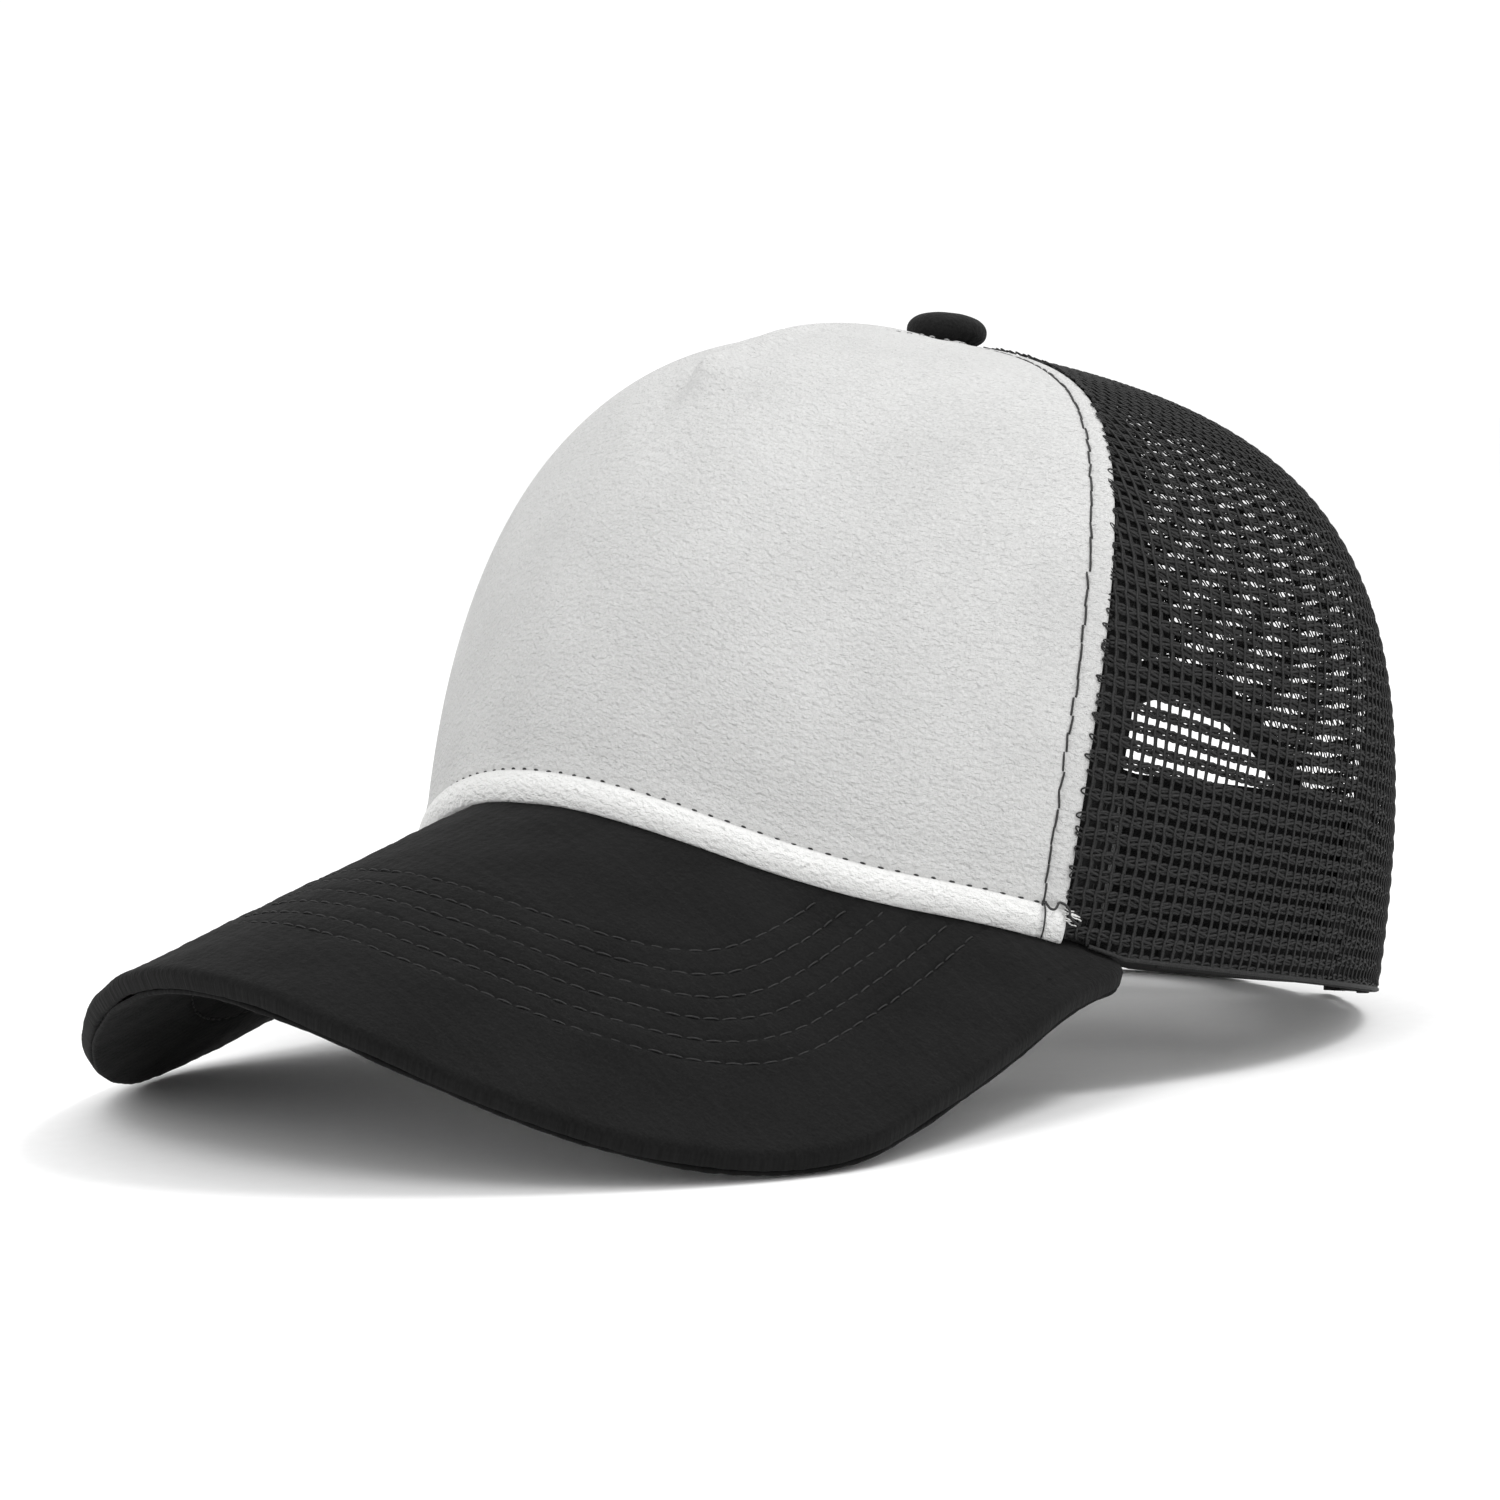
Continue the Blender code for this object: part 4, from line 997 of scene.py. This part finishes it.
# ---- brim
def brim_outline(q):
    """U and V of the brim's outer edge; Q is 0 at the front centre and -1 and 1 at the two corners."""
    side, q = np.sign(q), np.abs(q)
    corner_phi = np.array([radians(BRIM_CORNER_DEG)])
    corner_u, corner_v, _ = on_brim(crown(corner_phi, hem_t(corner_phi)))
    ahead = np.clip(q / BRIM_FRONT_SHARE, 0, 1) * pi / 2
    back = np.clip((q - BRIM_FRONT_SHARE) / (1 - BRIM_FRONT_SHARE), 0, 1) * pi / 2
    front_u = BRIM_HALF_WIDTH * np.sin(ahead) ** (2 / BRIM_FRONT_POWER)
    front_v = BRIM_WIDEST + (BRIM_LENGTH - BRIM_WIDEST) * np.cos(ahead) ** (2 / BRIM_FRONT_POWER)
    back_u = corner_u + (BRIM_HALF_WIDTH - corner_u) * np.cos(back) ** (2 / BRIM_BACK_POWER)
    back_v = BRIM_WIDEST + (corner_v - BRIM_WIDEST) * np.sin(back) ** (2 / BRIM_BACK_POWER)
    behind = q > BRIM_FRONT_SHARE
    return side * np.where(behind, back_u, front_u), np.where(behind, back_v, front_v)


def even_shares(count):
    """Q values at equal steps along the brim's edge, from its right corner to its left one."""
    q = np.linspace(0, BRIM_COVER_SHARE, 2000)
    run = flat_run(*brim_outline(q))
    half = np.interp(np.linspace(0, run[-1], count), run, q)
    return np.concatenate([-half[:0:-1], half])


def edge_distance(u, v):
    """How far places on the brim are from its outer edge."""
    return line_distance(u, v, *brim_outline(even_shares(260)))


def stitch_rows():
    """U and V along each row of the brim's stitching.

    A row is parallel to the brim's edge, its bends are eased, and it ends where it meets the crown.
    """
    edge_u, edge_v = brim_outline(even_shares(500))
    phi = np.linspace(-1, 1, 300) * radians(BRIM_CORNER_DEG)
    root_u, root_v, _ = on_brim(crown(phi, hem_t(phi)))
    out_u, out_v = np.gradient(edge_v), -np.gradient(edge_u)
    size = np.hypot(out_u, out_v)
    rows = []
    for row in STITCH_ROWS:
        u, v = edge_u + out_u / size * row, edge_v + out_v / size * row
        own = np.abs(edge_distance(u, v) - row) < 0.0004
        u, v = u[own], v[own]
        run = flat_run(u, v)
        places = np.linspace(0, run[-1], 400)
        u, v = np.interp(places, run, u), np.interp(places, run, v)
        for _ in range(round(EASE_ROWS * row / (run[-1] / 400)) ** 2):
            u[1:-1] = (u[:-2] + 2 * u[1:-1] + u[2:]) / 4
            v[1:-1] = (v[:-2] + 2 * v[1:-1] + v[2:]) / 4
        clear = (v > np.interp(u, root_u, root_v) + 0.0006) & (np.abs(u) < root_u.max())
        rows += [(u[part], v[part]) for part in runs(clear) if part.stop - part.start > 12]
    return rows


def line_distance(u, v, line_u, line_v):
    """How far places on the brim are from a line on it."""
    places = np.stack([u.ravel(), v.ravel()], -1)
    nearest = np.full(len(places), 9.0)
    for a_u, a_v, b_u, b_v in zip(line_u[:-1], line_v[:-1], line_u[1:], line_v[1:]):
        d = np.array([b_u - a_u, b_v - a_v])
        w = places - np.array([a_u, a_v])
        share = np.clip(w @ d / max(d @ d, 1e-12), 0, 1)
        nearest = np.minimum(nearest, np.hypot(*(w - share[:, None] * d).T))
    return nearest.reshape(u.shape)


def brim_skin(name, node, distances, sinks, count, flip, side, rows):
    """One of the brim's covers: DISTANCES in from the edge, each SINKS below the brim's top."""
    q = even_shares(count)
    phi = q * radians(BRIM_CORNER_DEG)
    root_u, root_v, _ = on_brim(skin(phi, hem_t(phi, BRIM_TUCK), BRIM_TUCK))
    edge_u, edge_v = brim_outline(q)
    length = np.hypot(edge_u - root_u, edge_v - root_v)
    inward = distances[:, None] / distances.max()
    ease = smoothstep(0.0, 0.25, inward)
    share = np.minimum(distances[:, None], 0.6 * length) / length * (1 - ease) + inward * ease
    u = edge_u + (root_u - edge_u) * share
    v = edge_v + (root_v - edge_v) * share
    groove = sum(bell(line_distance(u, v, a[::6], b[::6]), 0.00050) for a, b in rows)
    taper = 1 - 0.75 * smoothstep(0.93, BRIM_COVER_SHARE, np.abs(q))
    nap = 0.00012 * ripple(u * 55, v * 55, SEED + 1) + 0.00005 * ripple(u * 260, v * 260, SEED + 2)
    sink = sinks[:, None] * taper + side * (0.00026 * groove + nap)
    faces = grid_faces(*u.shape, flip=flip)
    piece(name, brim(u, v, sink), faces, "black", node, np.stack([u, v], -1))


def make_brim(rows):
    """The two covers: the upper one rolls over the edge, and the lower one is tucked in under its lip."""
    turn = np.linspace(pi / 2, 0, 9)
    round_in, round_sink = EDGE_RADIUS * (1 - np.sin(turn)), EDGE_RADIUS * (1 - np.cos(turn))
    lip = BRIM_THICK - 0.0014
    flat = np.linspace(COVER_REACH, 0.0019, 165)
    distances = np.concatenate([flat, round_in[::-1][1:], [0.0, 0.0, 0.0003, 0.0010]])
    sinks = np.concatenate([0 * flat, round_sink[::-1][1:], [0.0023, lip, lip + 0.0003, lip + 0.0004]])
    brim_skin("brim_top", "brim_cover_top", distances, sinks, 380, False, 1, rows)
    under = np.linspace(0.002, COVER_REACH, 120)
    distances = np.concatenate([[0.0012, 0.0004, 0.0002, 0.0004, 0.0011], under])
    tucked = lip + np.array([0.0004, 0.0005, 0.0009, 0.0013])
    sinks = np.concatenate([tucked, np.full(121, BRIM_THICK)])
    brim_skin("brim_under", "brim_cover_bottom", distances, sinks, 260, False, -1, rows)


def make_brim_stitching(rows):
    """Six rows of stitches that follow the brim's edge and end at the crown."""
    step = 1e-4
    for word, sink, facing in (("top", 0.00016, 1), ("under", BRIM_THICK - 0.00012, -1)):
        lines = []
        for k, (u, v) in enumerate(rows):
            across = brim(u + step, v) - brim(u - step, v)
            down = brim(u, v + step) - brim(u, v - step)
            normals = unit(np.cross(down, across)) * facing
            lines += stitched(brim(u, v, sink), normals, BRIM_STITCH, SEED + k)
        tubes(f"brim_stitches_{word}", lines, BRIM_STITCH.radius, "brim_thread", 6)


# ---- the strips between the strap's halves
REAR_PHI = np.linspace(pi - 1.0, pi + 1.0, 801)
REAR_RUN = run_of(crown(REAR_PHI, 0.0))


def strap_point(run, height, depth):
    """A point of the strap: RUN along the rim from its rear centre, positive towards +X."""
    phi = np.interp(REAR_RUN[400] - run, REAR_RUN, REAR_PHI)
    phi, height = np.broadcast_arrays(phi, height)
    return skin(phi, t_at(phi, height), depth)


def make_strap_bends():
    """The thin strips of the strap's plastic between its two halves."""
    inside = STRAP_DEPTH + STRAP_THICK + STRAP_GAP
    middle = (STRAP_LOW + STRAP_HIGH) / 2
    height = np.linspace(STRAP_LOW + 0.0004, STRAP_HIGH - 0.0004, 21)[None, :]
    for side, word, depth in ((RIGHT, "holes", STRAP_DEPTH), (LEFT, "pegs", inside)):
        run = side * (STRAP_ROOT + np.linspace(-0.0004, TAIL_GAP + 0.0004, 17))[:, None]
        thin = 0.0003 + 0.00018 * bell(run - side * (STRAP_ROOT + TAIL_GAP / 2), 0.0006) + 0 * height
        outer = strap_point(run, height, depth + thin)
        inner = strap_point(run, height, depth + STRAP_THICK - thin)
        faces = slab_faces(17, 21)[:, ::-side]
        made = piece(f"bend_{word}", closed(outer, inner)[0], faces, "plastic", body=None)
        start, end = [
            tuple(placed(strap_point(side * place, middle, depth + STRAP_THICK / 2)).ravel())
            for place in (STRAP_ROOT + TAIL_GAP, STRAP_ROOT)
        ]
        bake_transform(made)


def soften_straps():
    """Rounds the edges of the CAD's plastic pieces a little."""
    for name in STRAPS:
        rounding = frame["nodes"][name].modifiers.new("soft edges", "BEVEL")
        rounding.width, rounding.segments, rounding.limit_method = 0.00022, 2, "ANGLE"


# ---- button, label, loose thread
def make_button():
    """The covered button: a flat dome whose cloth is gathered under its edge."""
    around = np.linspace(0, tau, 161)[:-1][None, :]
    way = np.linspace(0, 1, 60)[:, None]
    lean = way * 0.80 * pi
    radius = BUTTON_RADIUS * np.sin(lean) ** 0.72
    height = BUTTON_HEIGHT * (0.43 + 0.57 * np.sign(np.cos(lean)) * np.abs(np.cos(lean)) ** 0.92)
    gather = smoothstep(0.72, 1.0, way)
    radius = radius * (1 - 0.06 * gather) + 0.00018 * gather * np.sin(around * 17 + np.sin(around * 3))
    x, y = np.cos(around), np.sin(around)
    radius = np.maximum(radius + 0.00006 * ripple(x, y + way, SEED) * np.sin(lean), 1e-5)
    height = np.maximum(height, 0.0) + 0.00004 * ripple(x, y, SEED) * np.sin(lean)
    points = np.stack([radius * x, TOP_Y + radius * y, CROWN_HEIGHT + height + 0 * around], -1)
    piece("button", points, grid_faces(60, 160, wrap=True, flip=True), "button", "button_cover")


def make_label():
    """The blank care label, sewn to the sweatband near its rear end."""
    middle = radians(LABEL_DEG)
    half = angle_of(LABEL_WIDTH / 2, middle, 0.05)
    phi = np.linspace(-1, 1, 40)[None, :] * half + middle + np.zeros((40, 1))
    t = t_at(phi, np.linspace(*LABEL_HEIGHTS, 40)[:, None] + 0 * phi)
    ribbon("label", phi, t, BAND_DEPTH + 0.0014, LABEL_THICK, "label", "care_label")


# How far outside the topstitch and above the rolled strip the loose thread lies along its length, in mm.
LOOSE_THREAD_OVER = [-0.15, 0.2, 0.9, 1.8, 2.3, 3.4, 4.0, 3.7, 4.6, 6.0]
LOOSE_THREAD_UP = [0.45, -0.6, -0.8, 0.0, 0.8, 0.7, 0.0, -1.0, -1.6, -2.1]


def make_loose_thread():
    """The end of the topstitch's thread, which curls over the rolled strip, and its part on the strip."""
    knots = np.array([LOOSE_THREAD_OVER, LOOSE_THREAD_UP]) / 1000
    places = np.linspace(0, knots.shape[1] - 1, 70)
    rough = [np.interp(places, range(knots.shape[1]), line) for line in knots]
    over, up = [np.convolve(np.pad(line, 3, "edge"), np.ones(7) / 7, "valid") for line in rough]
    start = beside(front_seam, STRIP_END_T, -TOPSTITCH_IN)
    phi = start + angle_of(over, np.full(70, start), STRIP_END_T)
    t = above_hem(phi, HEM_STRIP + 0.0004 + up)
    arcs = np.sin(np.linspace(0, 2 * pi, 70)) ** 2
    lift = 0.0006 + 0.0009 * arcs + 0.0008 * smoothstep(0.3, -0.6, up * 1000)
    tubes("loose_thread", [crown_line(LEFT * phi, t, -lift)], 0.00022, "thread", 6)
    up = np.linspace(0.0062, 0.0002, 24)
    phi = np.full(24, start)
    line = crown_line(LEFT * phi, above_hem(phi, up), -strip_bulge(up) - 0.0001)
    tubes("strip_thread", [line], 0.00015, "thread", 6)


def make_frayed_ends():
    """A few white threads that stick out where the front's rolled strip is cut off beside each seam."""
    rng = np.random.default_rng(SEED)
    start = front_seam(STRIP_END_T)
    for side, word in SIDES:
        lines = []
        for k in range(9):
            along = np.linspace(-0.0012, rng.uniform(0.0004, 0.0018), 12)
            phi = start + angle_of(along, np.full(12, start), STRIP_END_T)
            up = 0.0050 + 0.0011 * rng.uniform(-1, 1.4) + (along + 0.0012) * rng.uniform(-0.35, 0.15)
            up = up + 0.00012 * np.sin(along * rng.uniform(2000, 4000) + k)
            lift = 0.0009 + rng.uniform(-0.0002, 0.0004) + along * rng.uniform(-0.1, 0.35)
            lines.append(crown_line(side * phi, above_hem(phi, up), -lift))
        tubes(f"frayed_{word}", lines, 0.00011, "white_thread", 6)


# ---- the CAD pieces that stay
def dress_cad():
    names = {
        "buckram": ["front_backing"],
        "tape": ["front_dart_tape"],
        "board": ["brim_board"],
        "metal": ["button_shell", "button_rivet", "button_washer"],
        "plastic": STRAPS,
    }
    for look in names:
        for name in names[look]:
            materials = frame["nodes"][name].data.materials
            materials.clear()
            materials.append(LOOKS[look])


# ---- floor, light and camera
CAMERA_TARGET = Vector((-0.0037, 0.0078, 0.0553))
CAMERA_AZIMUTH = 46.54
CAMERA_ELEVATION = 4.98
CAMERA_ROLL = -2.81
CAMERA_DISTANCE = 0.7422
CAMERA_LENS = 99.2
LAMP_DISTANCE = 1.6
FLOOR_HALF = 6.0
FLOOR_GAP = 0.0002


def direction(azimuth, elevation):
    """The way out from the cap, in degrees round it from the front and up."""
    a, e = radians(azimuth), radians(elevation)
    return Vector((sin(a) * cos(e), -cos(a) * cos(e), sin(e)))


def make_floor():
    look, tree, shader = new_look("floor paper")
    grain = noise(tree, coordinates(tree, kind="Object"), 300, 3, 0.5)
    paper = ramp(tree, grain, 0.3, 0.7, grey(0.93), grey(0.95))
    feed(tree, shader, {"Base Color": paper, "Roughness": 0.9})
    size = FLOOR_HALF
    corners = [(-size, -size, 0), (size, -size, 0), (size, size, 0), (-size, size, 0)]
    mesh = bpy.data.meshes.new("floor")
    mesh.from_pydata(corners, [], [(0, 1, 2, 3)])
    mesh.materials.append(look)
    floor = shown("floor", mesh)
    floor.location.z = -FLOOR_GAP


def make_lamp(name, azimuth, elevation, size, power):
    """A soft box that faces the cap."""
    lamp = bpy.data.lights.new(name, "AREA")
    lamp.shape, lamp.size, lamp.energy = "DISK", size, power
    made = shown(name, lamp)
    away = direction(azimuth, elevation)
    made.location = away * LAMP_DISTANCE
    made.rotation_euler = away.to_track_quat("Z", "Y").to_euler()


def light_scene():
    world = bpy.data.worlds.new("studio")
    world.use_nodes = True
    feed(world.node_tree, world.node_tree.nodes["Background"], {"Color": (1, 1, 1, 1), "Strength": 1.08})
    bpy.context.scene.world = world
    make_lamp("key lamp", azimuth=125, elevation=58, size=0.5, power=9.0)
    make_lamp("fill lamp", azimuth=15, elevation=62, size=0.7, power=4.5)
    bpy.context.scene.view_settings.view_transform = "Standard"


def make_camera():
    back = direction(CAMERA_AZIMUTH, CAMERA_ELEVATION)
    camera = bpy.data.cameras.new("camera")
    camera.lens, camera.sensor_width = CAMERA_LENS, 36
    camera.clip_start = 0.01
    made = shown("camera", camera)
    turn = back.to_track_quat("Z", "Y").to_matrix() @ Matrix.Rotation(radians(CAMERA_ROLL), 3, "Z")
    made.matrix_world = Matrix.Translation(CAMERA_TARGET + back * CAMERA_DISTANCE) @ turn.to_4x4()
    bpy.context.scene.camera = made


def clear_startup():
    for made in list(bpy.data.objects):
        if made.name in ("Cube", "Light", "Camera"):
            bpy.data.objects.remove(made)


clear_startup()
make_camera()
make_floor()
light_scene()
dress_cad()
make_front()
make_front_stitching()
for one_side, one_word in SIDES:
    make_net(f"net_side_{one_word}", f"side_panel_{one_word}", one_side, NET_SIDE_CLOTH, in_side)
    make_net(f"net_back_{one_word}", f"back_panel_{one_word}", one_side, NET_BACK_CLOTH, in_back)
make_loops()
make_tapes()
make_arch()
make_sweatband()
make_pad()
brim_rows = stitch_rows()
make_brim(brim_rows)
make_brim_stitching(brim_rows)
make_button()
make_label()
make_loose_thread()
make_frayed_ends()
make_strap_bends()
soften_straps()
